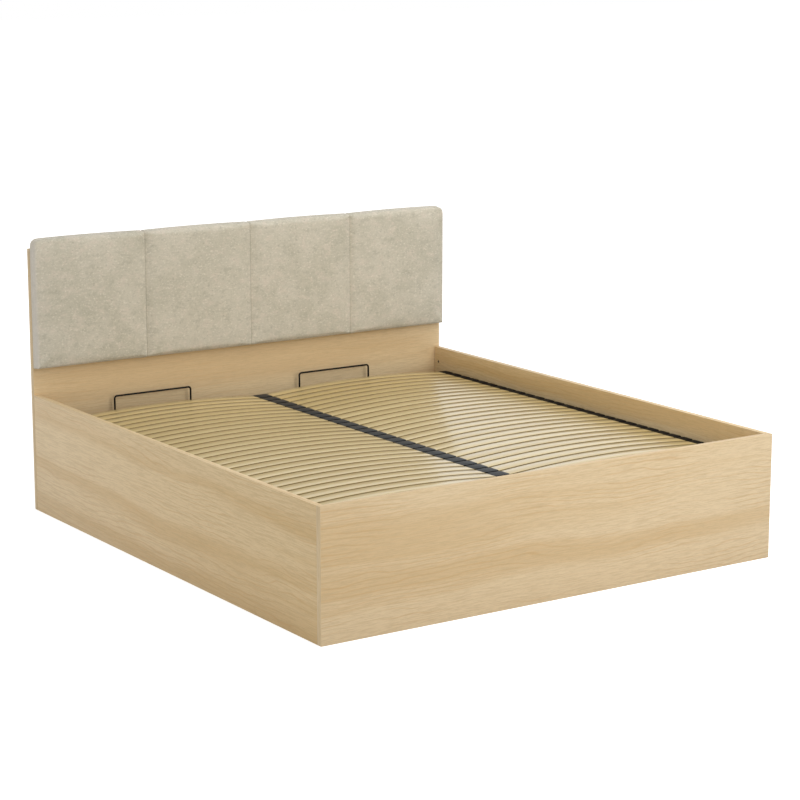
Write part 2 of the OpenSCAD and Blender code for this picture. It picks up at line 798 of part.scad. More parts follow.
module frame_centre_rail() {
    color([0.14, 0.14, 0.14]) difference() {
        tube_y(-centre_rail_w / 2, centre_rail_w / 2, rail_foot_y, rail_foot_y + rail_l);
        for (y = slat_y, s = [-1, 1])
            bar_z(s * centre_peg_x, y, frame_top - tube_wall - cut, frame_top + cut,
                  peg_r + hole_gap);
    }
}

module frame_cross_rails() {
    color([0.14, 0.14, 0.14])
    for (side = [-1, 1], i = [1 : cross_rails]) on_side(side) {
        y = rail_foot_y + rail_l * i / (cross_rails + 1);
        tube_x(centre_rail_w / 2, rail_in_x, y - tube_w / 2, y + tube_w / 2);
    }
}

module rail_end_plugs() {
    inner = tube_w - 2 * tube_wall - 2 * hole_gap;
    color([0.06, 0.06, 0.06])
    for (side = [-1, 1], y = [frame_foot_y, frame_head_y - tube_w]) on_side(side) {
        block([rail_out_x, y, frame_z], [rail_out_x + plug_flange, y + tube_w, frame_top]);
        translate([rail_out_x - plug_depth, y + tube_w / 2, frame_z + tube_w / 2])
            rotate([0, 90, 0]) linear_extrude(plug_depth) square(inner, center = true);
    }
}

// Slats

// Height of the arc of radius r, at x across the bed
function arc_z(x, r) = slat_centre_z + sqrt(r * r - pow(x - slat_mid_x, 2));

// The band that a slat fills, widened all round by play, from x0 to x1
module slat_band(x0, x1, play, w) {
    steps = ceil((x1 - x0) / slat_step);
    xs = [for (i = [0 : steps]) x0 + (x1 - x0) * i / steps];
    upper = [for (x = xs) [x, arc_z(x, slat_r + slat_t + play)]];
    lower = [for (i = [steps : -1 : 0]) [xs[i], arc_z(xs[i], slat_r - play)]];
    rotate([90, 0, 0]) translate([0, 0, -w / 2]) linear_extrude(w)
        polygon(concat(upper, lower));
}

module slats(side) {
    color([0.87, 0.81, 0.66])
    for (y = slat_y) on_side(side) translate([0, y, 0])
        slat_band(slat_in_x, slat_out_x, 0, slat_w);
}

cap_l = slat_w + 2 * cap_play + 2 * cap_wall;

module outer_slat_caps(side) {
    color([0.14, 0.13, 0.12])
    for (y = slat_y) on_side(side) translate([0, y, 0]) {
        difference() {
            block([cap_out_x - outer_cap_w, -cap_l / 2, frame_top],
                  [cap_out_x, cap_l / 2, cap_top]);
            slat_band(cap_out_x - outer_cap_w - cut, slat_out_x + cap_play, cap_play,
                      slat_w + 2 * cap_play);
        }
        bar_z(peg_x, 0, frame_top - peg_l, frame_top, peg_r);
    }
}

module centre_slat_caps() {
    color([0.24, 0.27, 0.29])
    for (y = slat_y) translate([0, y, 0]) {
        difference() {
            block([-centre_cap_w / 2, -cap_l / 2, frame_top],
                  [centre_cap_w / 2, cap_l / 2, cap_top]);
            for (side = [-1, 1]) on_side(side)
                slat_band(slat_in_x - cap_play, centre_cap_w / 2 + cut, cap_play,
                          slat_w + 2 * cap_play);
        }
        for (s = [-1, 1]) bar_z(s * centre_peg_x, 0, frame_top - peg_l, frame_top, peg_r);
    }
}

// Mattress retainers

module mattress_retainer(side) {
    bar_top = frame_top + retainer_h - rod_r;
    bend = bar_top - retainer_bend_r;
    color([0.07, 0.07, 0.07]) translate([retainer_x(side), retainer_y, 0]) {
        bar_x(retainer_bend_r - leg_x, leg_x - retainer_bend_r, 0, bar_top, rod_r);
        for (s = [-1, 1]) on_side(s) {
            bar_z(leg_x, 0, frame_z - retainer_tail, bend, rod_r);
            translate([leg_x - retainer_bend_r, 0, bend]) rotate([90, 0, 0])
                rotate_extrude(angle = 90) translate([retainer_bend_r, 0]) circle(r = rod_r);
        }
    }
}

module retainer_nuts() {
    color([0.70, 0.70, 0.70])
    for (side = [-1, 1], s = [-1, 1])
        translate([retainer_x(side) + s * leg_x, retainer_y, frame_z - retainer_tail + 4])
            difference() {
                cylinder(d = 4 * rod_r, h = retainer_tail - 4, $fn = 6);
                bar_z(0, 0, -cut, retainer_tail + cut, rod_r + hole_gap);
            }
}

// Gas struts

// Puts a strut part in place: its own Z runs from the lower to the upper stud
module strut_place(side) {
    translate([side * strut_x, lower_y, lower_z]) rotate([strut_lean, 0, 0]) children();
}

module strut_cylinder(side) {
    color([0.08, 0.08, 0.08]) strut_place(side) difference() {
        union() {
            bar_x(-eye_t / 2, eye_t / 2, 0, 0, eye_r);
            bar_z(0, 0, 0, strut_base, socket_r - 1);
            bar_z(0, 0, strut_base, strut_base + strut_tube_l, strut_r);
        }
        bar_x(-eye_t / 2 - cut, eye_t / 2 + cut, 0, 0, stud_r + run_gap);
        bar_z(0, 0, strut_base + tube_floor, strut_base + strut_tube_l + cut,
              strut_r - strut_wall);
    }
}

module strut_guide(side) {
    top = strut_base + strut_tube_l;
    color([0.20, 0.20, 0.20]) strut_place(side) difference() {
        bar_z(0, 0, top - guide_t, top, strut_r - strut_wall);
        bar_z(0, 0, top - guide_t - cut, top + cut, strut_rod_r + strut_play);
    }
}

module strut_rod(side) {
    color([0.80, 0.80, 0.82]) strut_place(side) {
        bar_z(0, 0, rod_start, strut_l - rod_socket + rod_bite, strut_rod_r);
        bar_z(0, 0, rod_start, rod_start + piston_t, piston_r);
    }
}

module strut_rod_end(side) {
    color([0.60, 0.60, 0.60]) strut_place(side) difference() {
        union() {
            bar_x(-eye_t / 2, eye_t / 2, 0, strut_l, eye_r);
            bar_z(0, 0, strut_l - rod_socket, strut_l - eye_r / 2, socket_r);
        }
        bar_x(-eye_t / 2 - cut, eye_t / 2 + cut, 0, strut_l, stud_r + run_gap);
        bar_z(0, 0, strut_l - rod_socket - cut, strut_l - rod_socket + rod_bite + hole_gap,
              strut_rod_r + hole_gap);
    }
}

upper_plate_t = 5;
upper_plate_w = 44;

module upper_strut_brackets() {
    eye_in = strut_x - eye_t / 2 - side_play;
    eye_out = strut_x + eye_t / 2 + side_play;
    color([0.14, 0.14, 0.14])
    for (side = [-1, 1]) on_side(side) {
        block([eye_in - upper_plate_t, upper_y - upper_plate_w / 2, upper_z - eye_r],
              [eye_in, upper_y + upper_plate_w / 2, frame_z]);
        bar_x(eye_in, eye_out + stud_head_t, upper_y, upper_z, stud_r);
        bar_x(eye_out, eye_out + stud_head_t, upper_y, upper_z, stud_collar_r);
    }
}

foot_panel();
side_panel(-1);  // left_side_panel
side_panel(1);  // right_side_panel
headboard_panel();
cushion_backing_board();
headboard_cushion();
cushion_screws();
head_bolts();
head_barrel_nuts();
corner_dowels();
foot_bracket(-1);  // foot_bracket_left
foot_bracket(1);  // foot_bracket_right
foot_bracket_screws();
rest_cleat(-1);  // rest_cleat_left
rest_cleat(1);  // rest_cleat_right
rest_cleat_foot();
rest_cleat_screws();
rest_buffers();
floor_bearer(bearer_w / 2 - side_in_x);  // floor_bearer_left
floor_bearer(side_in_x - bearer_w / 2);  // floor_bearer_right
floor_bearer(0);  // floor_bearer_centre
storage_floor(-1, foot_in_y + floor_gap, mid_y - floor_gap / 2);  // storage_floor_foot_left
storage_floor(1, foot_in_y + floor_gap, mid_y - floor_gap / 2);  // storage_floor_foot_right
storage_floor(-1, mid_y + floor_gap / 2, board_y - floor_gap);  // storage_floor_head_left
storage_floor(1, mid_y + floor_gap / 2, board_y - floor_gap);  // storage_floor_head_right
hinge_plate(-1);  // hinge_plate_left
hinge_plate(1);  // hinge_plate_right
hinge_plate_screws();
hinge_pin(-1);  // hinge_pin_left
hinge_pin(1);  // hinge_pin_right
hinge_nuts();
lower_strut_studs();
frame_side_rail(-1);  // frame_side_rail_left
frame_side_rail(1);  // frame_side_rail_right
frame_head_rail();
frame_foot_rail();
frame_centre_rail();
frame_cross_rails();
rail_end_plugs();
hinge_bushes();
slats(-1);  // slats_left
slats(1);  // slats_right
outer_slat_caps(-1);  // outer_slat_caps_left
outer_slat_caps(1);  // outer_slat_caps_right
centre_slat_caps();
mattress_retainer(-1);  // mattress_retainer_left
mattress_retainer(1);  // mattress_retainer_right
retainer_nuts();
upper_strut_brackets();
strut_cylinder(-1);  // strut_cylinder_left
strut_cylinder(1);  // strut_cylinder_right
strut_rod(-1);  // strut_rod_left
strut_rod(1);  // strut_rod_right
strut_rod_end(-1);  // strut_rod_end_left
strut_rod_end(1);  // strut_rod_end_right
strut_guide(-1);  // strut_guide_left
strut_guide(1);  // strut_guide_right
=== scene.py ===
import json
import math

import bmesh
import bpy
from mathutils import Matrix, Vector, noise


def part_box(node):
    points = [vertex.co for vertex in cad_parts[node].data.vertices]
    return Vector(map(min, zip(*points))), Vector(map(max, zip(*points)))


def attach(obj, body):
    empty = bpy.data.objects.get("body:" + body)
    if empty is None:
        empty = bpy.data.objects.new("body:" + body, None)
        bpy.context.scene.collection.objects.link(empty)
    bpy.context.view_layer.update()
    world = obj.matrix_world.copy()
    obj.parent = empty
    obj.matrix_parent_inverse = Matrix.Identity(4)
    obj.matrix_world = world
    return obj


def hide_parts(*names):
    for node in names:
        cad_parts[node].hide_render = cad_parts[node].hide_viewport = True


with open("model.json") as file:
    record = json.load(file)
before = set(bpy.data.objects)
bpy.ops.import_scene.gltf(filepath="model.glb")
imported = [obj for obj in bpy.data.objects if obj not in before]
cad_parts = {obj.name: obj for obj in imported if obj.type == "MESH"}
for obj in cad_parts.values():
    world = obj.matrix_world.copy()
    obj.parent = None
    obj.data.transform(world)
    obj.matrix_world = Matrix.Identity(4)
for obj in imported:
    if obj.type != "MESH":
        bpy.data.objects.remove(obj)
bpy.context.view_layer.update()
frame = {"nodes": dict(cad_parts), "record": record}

MM = 0.001
SCENE = bpy.context.scene
NODES = frame["nodes"]
BODY_OF = {n: b for b, names in frame["record"]["behaviour"]["bodies"].items() for n in names}

# Camera: a long lens, looking down on the bed from the left of its foot end
CAMERA_AT = Vector((-4.5513, -6.8903, 2.2075))
CAMERA_TURN = -0.5893
CAMERA_TILT = 0.2046
SENSOR = 36.0
LENS = 104.97

camera = bpy.data.objects.new("camera", bpy.data.cameras.new("camera"))
SCENE.collection.objects.link(camera)
camera.location = CAMERA_AT
camera.rotation_euler = (math.pi / 2 - CAMERA_TILT, 0, CAMERA_TURN)
camera.data.sensor_width = SENSOR
camera.data.lens = LENS
SCENE.camera = camera


# Shader helpers

def shade(tree, kind, links=None, **settings):
    """Adds a shader node. links gives its inputs: a socket to link, or a value to set."""
    n = tree.nodes.new("ShaderNode" + kind)
    for key, value in settings.items():
        setattr(n, key, value)
    for key, value in (links or {}).items():
        if isinstance(value, bpy.types.NodeSocket):
            tree.links.new(value, n.inputs[key])
        else:
            n.inputs[key].default_value = value
    return n


def maths(tree, operation, a, b=0.0, c=0.0):
    """One Math node's output."""
    return shade(tree, "Math", {0: a, 1: b, 2: c}, operation=operation).outputs[0]


def tween(tree, value, low, high, to_low=0.0, to_high=1.0):
    """value taken smoothly from low..high to to_low..to_high."""
    links = {"Value": value, "From Min": low, "From Max": high,
             "To Min": to_low, "To Max": to_high}
    n = shade(tree, "MapRange", links, interpolation_type="SMOOTHSTEP")
    return n.outputs["Result"]


def blend_colours(tree, factor, a, b):
    """Colour a going to colour b with the factor. A colour is a socket or three numbers."""
    n = shade(tree, "Mix", data_type="RGBA")
    for index, value in ((0, factor), (6, a), (7, b)):
        if isinstance(value, bpy.types.NodeSocket):
            tree.links.new(value, n.inputs[index])
        elif index == 0:
            n.inputs[0].default_value = value
        else:
            n.inputs[index].default_value = (*value, 1)
    return n.outputs[2]


def spots(tree, vector, scale, detail, roughness=0.5, distortion=0.0):
    """A noise from 0 to 1 over the vector, with the scale along each axis."""
    stretch = shade(tree, "Mapping", {"Vector": vector, "Scale": scale})
    links = {"Vector": stretch.outputs[0], "Scale": 1.0, "Detail": detail,
             "Roughness": roughness, "Distortion": distortion}
    return shade(tree, "TexNoise", links).outputs["Fac"]


def group(name, inputs, outputs):
    """An empty node group with named float sockets and a Vector, and its two end nodes."""
    tree = bpy.data.node_groups.new(name, "ShaderNodeTree")
    tree.interface.new_socket("Vector", in_out="INPUT", socket_type="NodeSocketVector")
    for key, value in inputs.items():
        s = tree.interface.new_socket(key, in_out="INPUT", socket_type="NodeSocketFloat")
        s.default_value = value
    for key in outputs:
        tree.interface.new_socket(key, in_out="OUTPUT", socket_type="NodeSocketFloat")
    ends = tree.nodes.new("NodeGroupInput"), tree.nodes.new("NodeGroupOutput")
    return tree, ends[0].outputs, ends[1].inputs


def use_group(tree, made, links):
    """Places a node group in a material and returns its outputs."""
    return shade(tree, "Group", links, node_tree=made).outputs


def material(name, **sockets):
    """A Principled material with its fixed sockets set: its material, tree and shader."""
    made = bpy.data.materials.new(name)
    made.use_nodes = True
    tree = made.node_tree
    tree.nodes.clear()
    surface = shade(tree, "BsdfPrincipled", {k.replace("_", " "): v for k, v in sockets.items()})
    shade(tree, "OutputMaterial", {"Surface": surface.outputs[0]})
    return made, tree, surface


def finish_with(tree, surface, colour, roughness, height, depth):
    """Links what changes over the surface, with the height as a bump of that depth in metres."""
    tree.links.new(colour, surface.inputs["Base Color"])
    if roughness is not None:
        tree.links.new(roughness, surface.inputs["Roughness"])
    bump = shade(tree, "Bump", {"Height": height, "Distance": depth, "Strength": 1.0})
    tree.links.new(bump.outputs[0], surface.inputs["Normal"])


def place(tree):
    """The object's own coordinates, in metres."""
    return shade(tree, "TexCoord").outputs["Object"]


def turned(tree, vector, grain):
    """The vector with the grain's axis first."""
    parts = shade(tree, "SeparateXYZ", {0: vector}).outputs
    order = {"x": (0, 1, 2), "y": (1, 0, 2), "z": (2, 1, 0)}[grain]
    return shade(tree, "CombineXYZ", {i: parts[k] for i, k in enumerate(order)}).outputs[0]


# Node groups shared by several materials

def make_wood_grain():
    """Wood with its grain along X: broad bands, fine lines, combed figure, fibres and pores.
    Across is the rings in a metre and Rings how far noise bends them, Spread is that noise's
    scale over the grain, and Lines and Fibre are the scales of the fine lines and fibres over
    it. Drift is how far the grain wanders, in metres."""
    tree, given, out = group(
        "wood_grain", {"Rings": 12.0, "Across": 55.0, "Spread": 6.0, "Lines": 130.0,
                       "Fibre": 240.0, "Drift": 0.1},
        ["Bands", "Lines", "Figure", "Fibres", "Pores"])
    v = given["Vector"]
    parts = shade(tree, "SeparateXYZ", {0: v}).outputs
    level = maths(tree, "ADD", parts[1], parts[2])
    drift = spots(tree, v, (1.1, 0.8, 0.8), 2.5)
    across = maths(tree, "MULTIPLY_ADD", drift, given["Drift"], level)

    def drawn_out(run, rows, detail, roughness):
        """A noise along the drifting grain, with its scales along and across it."""
        at = shade(tree, "CombineXYZ", {0: maths(tree, "MULTIPLY", parts[0], run),
                                        1: maths(tree, "MULTIPLY", across, rows)}).outputs[0]
        return shade(tree, "TexNoise", {"Vector": at, "Scale": 1.0, "Detail": detail,
                                        "Roughness": roughness}).outputs["Fac"]

    bands = drawn_out(0.28, 7.0, 3.0, 0.5)
    tree.links.new(bands, out["Bands"])
    lines = tween(tree, drawn_out(2.6, given["Lines"], 3.0, 0.6), 0.50, 0.66)
    dense = tween(tree, bands, 0.44, 0.62, 0.35, 1.0)
    tree.links.new(maths(tree, "MULTIPLY", lines, dense), out["Lines"])
    spread = shade(tree, "CombineXYZ", {0: 1.6, 1: given["Spread"], 2: given["Spread"]}).outputs[0]
    drawn = shade(tree, "VectorMath", {0: v, 1: spread}, operation="MULTIPLY").outputs[0]
    field = shade(tree, "TexNoise", {"Vector": drawn, "Scale": 1.0, "Detail": 4.0,
                                     "Roughness": 0.48}).outputs["Fac"]
    turns = maths(tree, "MULTIPLY", across, given["Across"])
    turns = maths(tree, "MULTIPLY_ADD", field, given["Rings"], turns)
    wave = maths(tree, "SINE", maths(tree, "MULTIPLY", turns, 2 * math.pi))
    thin = maths(tree, "POWER", maths(tree, "MULTIPLY_ADD", wave, 0.5, 0.5), 11.0)
    combed = tween(tree, spots(tree, v, (2.4, 11.0, 11.0), 1.0), 0.40, 0.60, 0.2, 1.0)
    tree.links.new(maths(tree, "MULTIPLY", thin, combed), out["Figure"])
    fine = shade(tree, "CombineXYZ", {0: 16.0, 1: given["Fibre"], 2: given["Fibre"]}).outputs[0]
    strands = shade(tree, "VectorMath", {0: v, 1: fine}, operation="MULTIPLY").outputs[0]
    tree.links.new(
        shade(tree, "TexNoise", {"Vector": strands, "Scale": 1.0, "Detail": 3.0,
                                 "Roughness": 0.6}).outputs["Fac"], out["Fibres"])
    pores = spots(tree, v, (60.0, 420.0, 420.0), 2.0)
    tree.links.new(tween(tree, pores, 0.50, 0.72), out["Pores"])
    return tree


def make_cloth_mottle():
    """Suede-like cloth: cloudy patches, specks, short level streaks and a fine nap."""
    tree, given, out = group("cloth_mottle", {"Cloud": 9.0},
                             ["Clouds", "Patches", "Specks", "Streaks", "Nap"])
    v = given["Vector"]
    noise_links = {"Vector": v, "Scale": given["Cloud"], "Detail": 4.0, "Roughness": 0.62,
                   "Distortion": 0.4}
    tree.links.new(shade(tree, "TexNoise", noise_links).outputs["Fac"], out["Clouds"])
    tree.links.new(spots(tree, v, (22, 22, 34), 6.0, 0.66, 0.4), out["Patches"])
    tree.links.new(spots(tree, v, (110, 110, 150), 4.0, 0.68), out["Specks"])
    tree.links.new(spots(tree, v, (34, 34, 240), 3.0, 0.6, 0.4), out["Streaks"])
    tree.links.new(spots(tree, v, (1500, 1500, 1500), 2.0, 0.7), out["Nap"])
    return tree


def make_mould_grain():
    """Moulded plastic and rubber: a pebbled skin, and faint rubbed patches."""
    tree, given, out = group("mould_grain", {"Grain": 900.0}, ["Skin", "Rubbed"])
    v = given["Vector"]
    pebbles = shade(tree, "TexVoronoi", {"Vector": v, "Scale": given["Grain"]})
    tree.links.new(pebbles.outputs["Distance"], out["Skin"])
    tree.links.new(spots(tree, v, (18, 18, 18), 4.0, 0.6), out["Rubbed"])
    return tree


def make_metal_skin():
    """Painted or plated steel: a fine skin, soft clouds and a few handling marks."""
    tree, given, out = group("metal_skin", {"Skin": 1400.0}, ["Skin", "Clouds", "Marks"])
    v = given["Vector"]
    links = {"Vector": v, "Scale": given["Skin"], "Detail": 2.0, "Roughness": 0.6}
    tree.links.new(shade(tree, "TexNoise", links).outputs["Fac"], out["Skin"])
    tree.links.new(spots(tree, v, (14, 14, 14), 3.0, 0.6), out["Clouds"])
    marks = spots(tree, v, (90, 900, 140), 2.0, 0.5, 0.8)
    tree.links.new(tween(tree, marks, 0.66, 0.74), out["Marks"])
    return tree


WOOD_GRAIN = make_wood_grain()
CLOTH_MOTTLE = make_cloth_mottle()
MOULD_GRAIN = make_mould_grain()
METAL_SKIN = make_metal_skin()


# Colours, in linear light

def srgb(r, g, b):
    """A colour as a screen gives it, 0 to 255, in linear light."""
    return tuple(c / 12.92 if c <= 0.04045 else ((c + 0.055) / 1.055) ** 2.4
                 for c in (r / 255, g / 255, b / 255))


def times(colour, *factors):
    """A colour made darker or redder: one factor for all, or one each for red, green and blue."""
    return tuple(c * k for c, k in zip(colour, factors if len(factors) == 3 else factors * 3))


SLAT_LIGHT = srgb(208, 186, 130)
SLAT_DARK = srgb(189, 165, 106)
CLOTH_GREEN = srgb(186, 180, 162)
CLOTH_MID = srgb(197, 190, 173)
CLOTH_PINK = srgb(204, 193, 177)
CLOTH_LIGHT = srgb(224, 217, 202)
# Painted light for the cushion's two ends.
CLOTH_PAINTED_LIGHT = srgb(236, 227, 214)
PANEL_LIGHT = srgb(226, 203, 165)
PANEL_DARK = srgb(215, 187, 143)
SIDE_LIGHT = srgb(228, 203, 159)
SIDE_DARK = srgb(216, 186, 136)
HEAD_LIGHT = srgb(224, 199, 157)
HEAD_DARK = srgb(212, 184, 141)
BAND_LIGHT = srgb(220, 196, 155)
BAND_DARK = srgb(209, 183, 141)


# Materials

SLAT_PLIES = 7
SLAT_THICKNESS = 8 * MM
# Width of the painted shade stripe down each seam.
SEAM_SHADE_WIDTH = 1.6 * MM
# How far the painted light reaches in from the cushion's ends.
PAINTED_LIGHT_REACH = 14 * MM


def laminate(name, grain, light, dark, rings, shift, figured=1.0):
    """Maple decor laminate: low-contrast rings and fibres, with a satin printed skin."""
    made, tree, surface = material(name, Specular_IOR_Level=0.28)
    moved = shade(tree, "Mapping", {"Vector": turned(tree, place(tree), grain),
                                    "Location": (shift, shift * 0.7, 0.3 * shift)}).outputs[0]
    wood = use_group(tree, WOOD_GRAIN, {"Vector": moved, "Rings": rings, "Across": 55.0,
                                        "Spread": 7.0, "Lines": 150.0, "Fibre": 300.0,
                                        "Drift": 0.09})
    tone = blend_colours(tree, tween(tree, wood["Bands"], 0.44, 0.62), light, dark)
    reddish = times(dark, 0.86, 0.72, 0.56)
    tone = blend_colours(tree, maths(tree, "MULTIPLY", wood["Lines"], 0.24 * figured),
                         tone, reddish)
    tone = blend_colours(tree, maths(tree, "MULTIPLY", wood["Figure"], 0.50 * figured),
                         tone, reddish)
    fibres_in = maths(tree, "MULTIPLY", tween(tree, wood["Fibres"], 0.42, 0.62), 0.40)
    tone = blend_colours(tree, fibres_in, tone, times(dark, 0.80))
    pores_in = maths(tree, "MULTIPLY", wood["Pores"], 0.15)
    tone = blend_colours(tree, pores_in, tone, times(dark, 0.55))
    rough = maths(tree, "MULTIPLY_ADD", wood["Fibres"], 0.14, 0.36)
    height = maths(tree, "SUBTRACT", wood["Fibres"], wood["Pores"])
    finish_with(tree, surface, tone, rough, height, 0.05 * MM)
    return made


def bare_wood(name, grain, light, dark):
    """Solid softwood or hardwood, planed, with clear rings."""
    made, tree, surface = material(name, Specular_IOR_Level=0.3)
    wood = use_group(tree, WOOD_GRAIN, {"Vector": turned(tree, place(tree), grain),
                                        "Rings": 16.0, "Across": 130.0, "Spread": 14.0,
                                        "Fibre": 420.0})
    tone = blend_colours(tree, tween(tree, wood["Bands"], 0.3, 0.7), light, dark)
    tone = blend_colours(tree, maths(tree, "MULTIPLY", wood["Figure"], 0.55), tone,
                         times(dark, 0.80, 0.66, 0.52))
    tone = blend_colours(tree, maths(tree, "MULTIPLY", wood["Fibres"], 0.25), tone,
                         times(dark, 0.7))
    rough = maths(tree, "MULTIPLY_ADD", wood["Fibres"], 0.2, 0.55)
    finish_with(tree, surface, tone, rough, wood["Fibres"], 0.12 * MM)
    return made


def slat_faces(name, first_y, pitch):
    """Varnished birch veneer on the slats, each slat with its own tone and figure."""
    made, tree, surface = material(name, Specular_IOR_Level=0.5, Coat_Weight=1.0,
                                   Coat_Roughness=0.16)
    here = place(tree)
    parts = shade(tree, "SeparateXYZ", {0: here}).outputs
    number = maths(tree, "ROUND", maths(tree, "DIVIDE", maths(tree, "SUBTRACT", parts[1], first_y),
                                        pitch))
    half = maths(tree, "SIGN", parts[0])
    own = maths(tree, "MULTIPLY_ADD", half, 50.0, number)
    chance = shade(tree, "TexWhiteNoise", {"W": own}, noise_dimensions="1D").outputs["Value"]
    slide = shade(tree, "CombineXYZ", {0: maths(tree, "MULTIPLY", chance, 31.0), 1: number,
                                       2: chance}).outputs[0]
    moved = shade(tree, "VectorMath", {0: here, 1: slide}, operation="ADD").outputs[0]
    wood = use_group(tree, WOOD_GRAIN, {"Vector": moved, "Rings": 10.0, "Across": 110.0,
                                        "Spread": 9.0, "Fibre": 380.0})
    tone = blend_colours(tree, tween(tree, chance, 0.0, 1.0, 0.0, 0.75), SLAT_LIGHT, SLAT_DARK)
    tone = blend_colours(tree, maths(tree, "MULTIPLY", tween(tree, wood["Bands"], 0.3, 0.7), 0.35),
                         tone, times(SLAT_DARK, 0.88))
    lines_in = maths(tree, "MULTIPLY", maths(tree, "ADD", wood["Figure"], wood["Lines"]), 0.18)
    tone = blend_colours(tree, lines_in, tone, times(SLAT_DARK, 0.86, 0.76, 0.62))
    tone = blend_colours(tree, maths(tree, "MULTIPLY", wood["Fibres"], 0.18), tone,
                         times(SLAT_DARK, 0.75))
    rough = maths(tree, "MULTIPLY_ADD", wood["Bands"], 0.16, 0.27)
    finish_with(tree, surface, tone, rough, wood["Fibres"], 0.04 * MM)
    return made


def shaded_slat_plies(name):
    """The slats' narrow sides: thin pale and brown plies, from the pieces' own UV map, with
    painted shade darkening both plies for the shade in the gaps between slats.
    """
    made, tree, surface = material(name, Roughness=0.5, Specular_IOR_Level=0.4)
    flat = shade(tree, "UVMap", uv_map="plies").outputs[0]
    parts = shade(tree, "SeparateXYZ", {0: flat}).outputs
    layers = maths(tree, "MULTIPLY", parts[1], SLAT_PLIES / SLAT_THICKNESS)
    odd = tween(tree, maths(tree, "PINGPONG", layers, 1.0), 0.35, 0.65)
    glue = tween(tree, maths(tree, "PINGPONG", maths(tree, "ADD", layers, 0.5), 0.5), 0.0, 0.10,
                 1.0, 0.0)
    wood = use_group(tree, WOOD_GRAIN, {"Vector": place(tree), "Fibre": 500.0})
    # Painted shade: both plies are darkened well below the slat faces, for the shade in the gaps
    # between slats; the plies and glue lines are real.
    tone = blend_colours(tree, odd, times(SLAT_DARK, 0.60), times(SLAT_DARK, 0.42, 0.38, 0.30))
    tone = blend_colours(tree, maths(tree, "MULTIPLY", glue, 0.6), tone, (0.10, 0.06, 0.03))
    tone = blend_colours(tree, maths(tree, "MULTIPLY", wood["Fibres"], 0.4), tone,
                         times(SLAT_DARK, 0.45))
    finish_with(tree, surface, tone, None, wood["Fibres"], 0.10 * MM)
    return made


def cushion_cloth(name, seams, end):
    """Greige suede-like cloth with cloudy patches, and painted shade: a dark stripe down each sewn
    seam, for the shade in its crease. Painted light makes it paler towards the cushion's two ends,
    which lie at end and -end."""
    made, tree, surface = material(name, Specular_IOR_Level=0.15, Sheen_Weight=0.40,
                                   Sheen_Roughness=0.40)
    here = place(tree)
    cloth = use_group(tree, CLOTH_MOTTLE, {"Vector": here, "Cloud": 7.0})
    tone = blend_colours(tree, tween(tree, cloth["Clouds"], 0.34, 0.66), CLOTH_GREEN, CLOTH_MID)
    tone = blend_colours(tree, tween(tree, cloth["Patches"], 0.50, 0.66, 0.0, 0.70), tone,
                         CLOTH_PINK)
    tone = blend_colours(tree, tween(tree, cloth["Patches"], 0.48, 0.34, 0.0, 0.60), tone,
                         times(CLOTH_GREEN, 0.86))
    tone = blend_colours(tree, tween(tree, cloth["Streaks"], 0.54, 0.72, 0.0, 0.42), tone,
                         times(CLOTH_MID, 0.74))
    tone = blend_colours(tree, tween(tree, cloth["Specks"], 0.54, 0.68, 0.0, 0.60), tone,
                         CLOTH_LIGHT)
    tone = blend_colours(tree, tween(tree, cloth["Specks"], 0.44, 0.30, 0.0, 0.58), tone,
                         times(CLOTH_GREEN, 0.64))
    x = shade(tree, "SeparateXYZ", {0: here}).outputs[0]
    # Painted shade: a dark stripe down each seam, for the shade in its sewn crease.
    for seam in seams:
        away = maths(tree, "ABSOLUTE", maths(tree, "SUBTRACT", x, seam))
        seam_shade = tween(tree, away, 0.2 * SEAM_SHADE_WIDTH, SEAM_SHADE_WIDTH, 0.42, 0.0)
        tone = blend_colours(tree, seam_shade, tone, times(CLOTH_MID, 0.5))
    # Painted light: the cloth turns paler towards the cushion's ends, lighting their end faces.
    painted_light_ends = tween(tree, maths(tree, "ABSOLUTE", x), end - PAINTED_LIGHT_REACH, end - MM, 0.0, 0.6)
    tone = blend_colours(tree, painted_light_ends, tone, CLOTH_PAINTED_LIGHT)
    rough = maths(tree, "MULTIPLY_ADD", cloth["Specks"], 0.15, 0.80)
    height = maths(tree, "ADD", cloth["Nap"], maths(tree, "MULTIPLY", cloth["Specks"], 0.8))
    finish_with(tree, surface, tone, rough, height, 0.35 * MM)
    return made


def moulded(name, colour, rough, grain=900.0, specular=0.4):
    """Moulded plastic or rubber with a pebbled skin."""
    made, tree, surface = material(name, Specular_IOR_Level=specular)
    skin = use_group(tree, MOULD_GRAIN, {"Vector": place(tree), "Grain": grain})
    tone = blend_colours(tree, tween(tree, skin["Rubbed"], 0.45, 0.75, 0.0, 0.5), colour,
                         tuple(min(1, c * 1.5 + 0.004) for c in colour))
    roughs = maths(tree, "MULTIPLY_ADD", skin["Rubbed"], -0.18, rough + 0.09)
    finish_with(tree, surface, tone, roughs, skin["Skin"], 0.06 * MM)
    return made


def metal(name, colour, rough, metallic, skin, coat=0.0, tint=0.8, specular=0.5):
    """Painted, plated or polished steel."""
    made, tree, surface = material(name, Metallic=metallic, Coat_Weight=coat,
                                   Coat_Roughness=0.2, Specular_IOR_Level=specular)
    face = use_group(tree, METAL_SKIN, {"Vector": place(tree), "Skin": skin})
    tone = blend_colours(tree, tween(tree, face["Clouds"], 0.35, 0.7), colour, times(colour, tint))
    tone = blend_colours(tree, maths(tree, "MULTIPLY", face["Marks"], 0.3), tone,
                         tuple(min(1, c * 1.6 + 0.01) for c in colour))
    roughs = maths(tree, "MULTIPLY_ADD", face["Clouds"], 0.2, rough - 0.08)
    finish_with(tree, surface, tone, roughs, face["Skin"], 0.03 * MM)
    return made


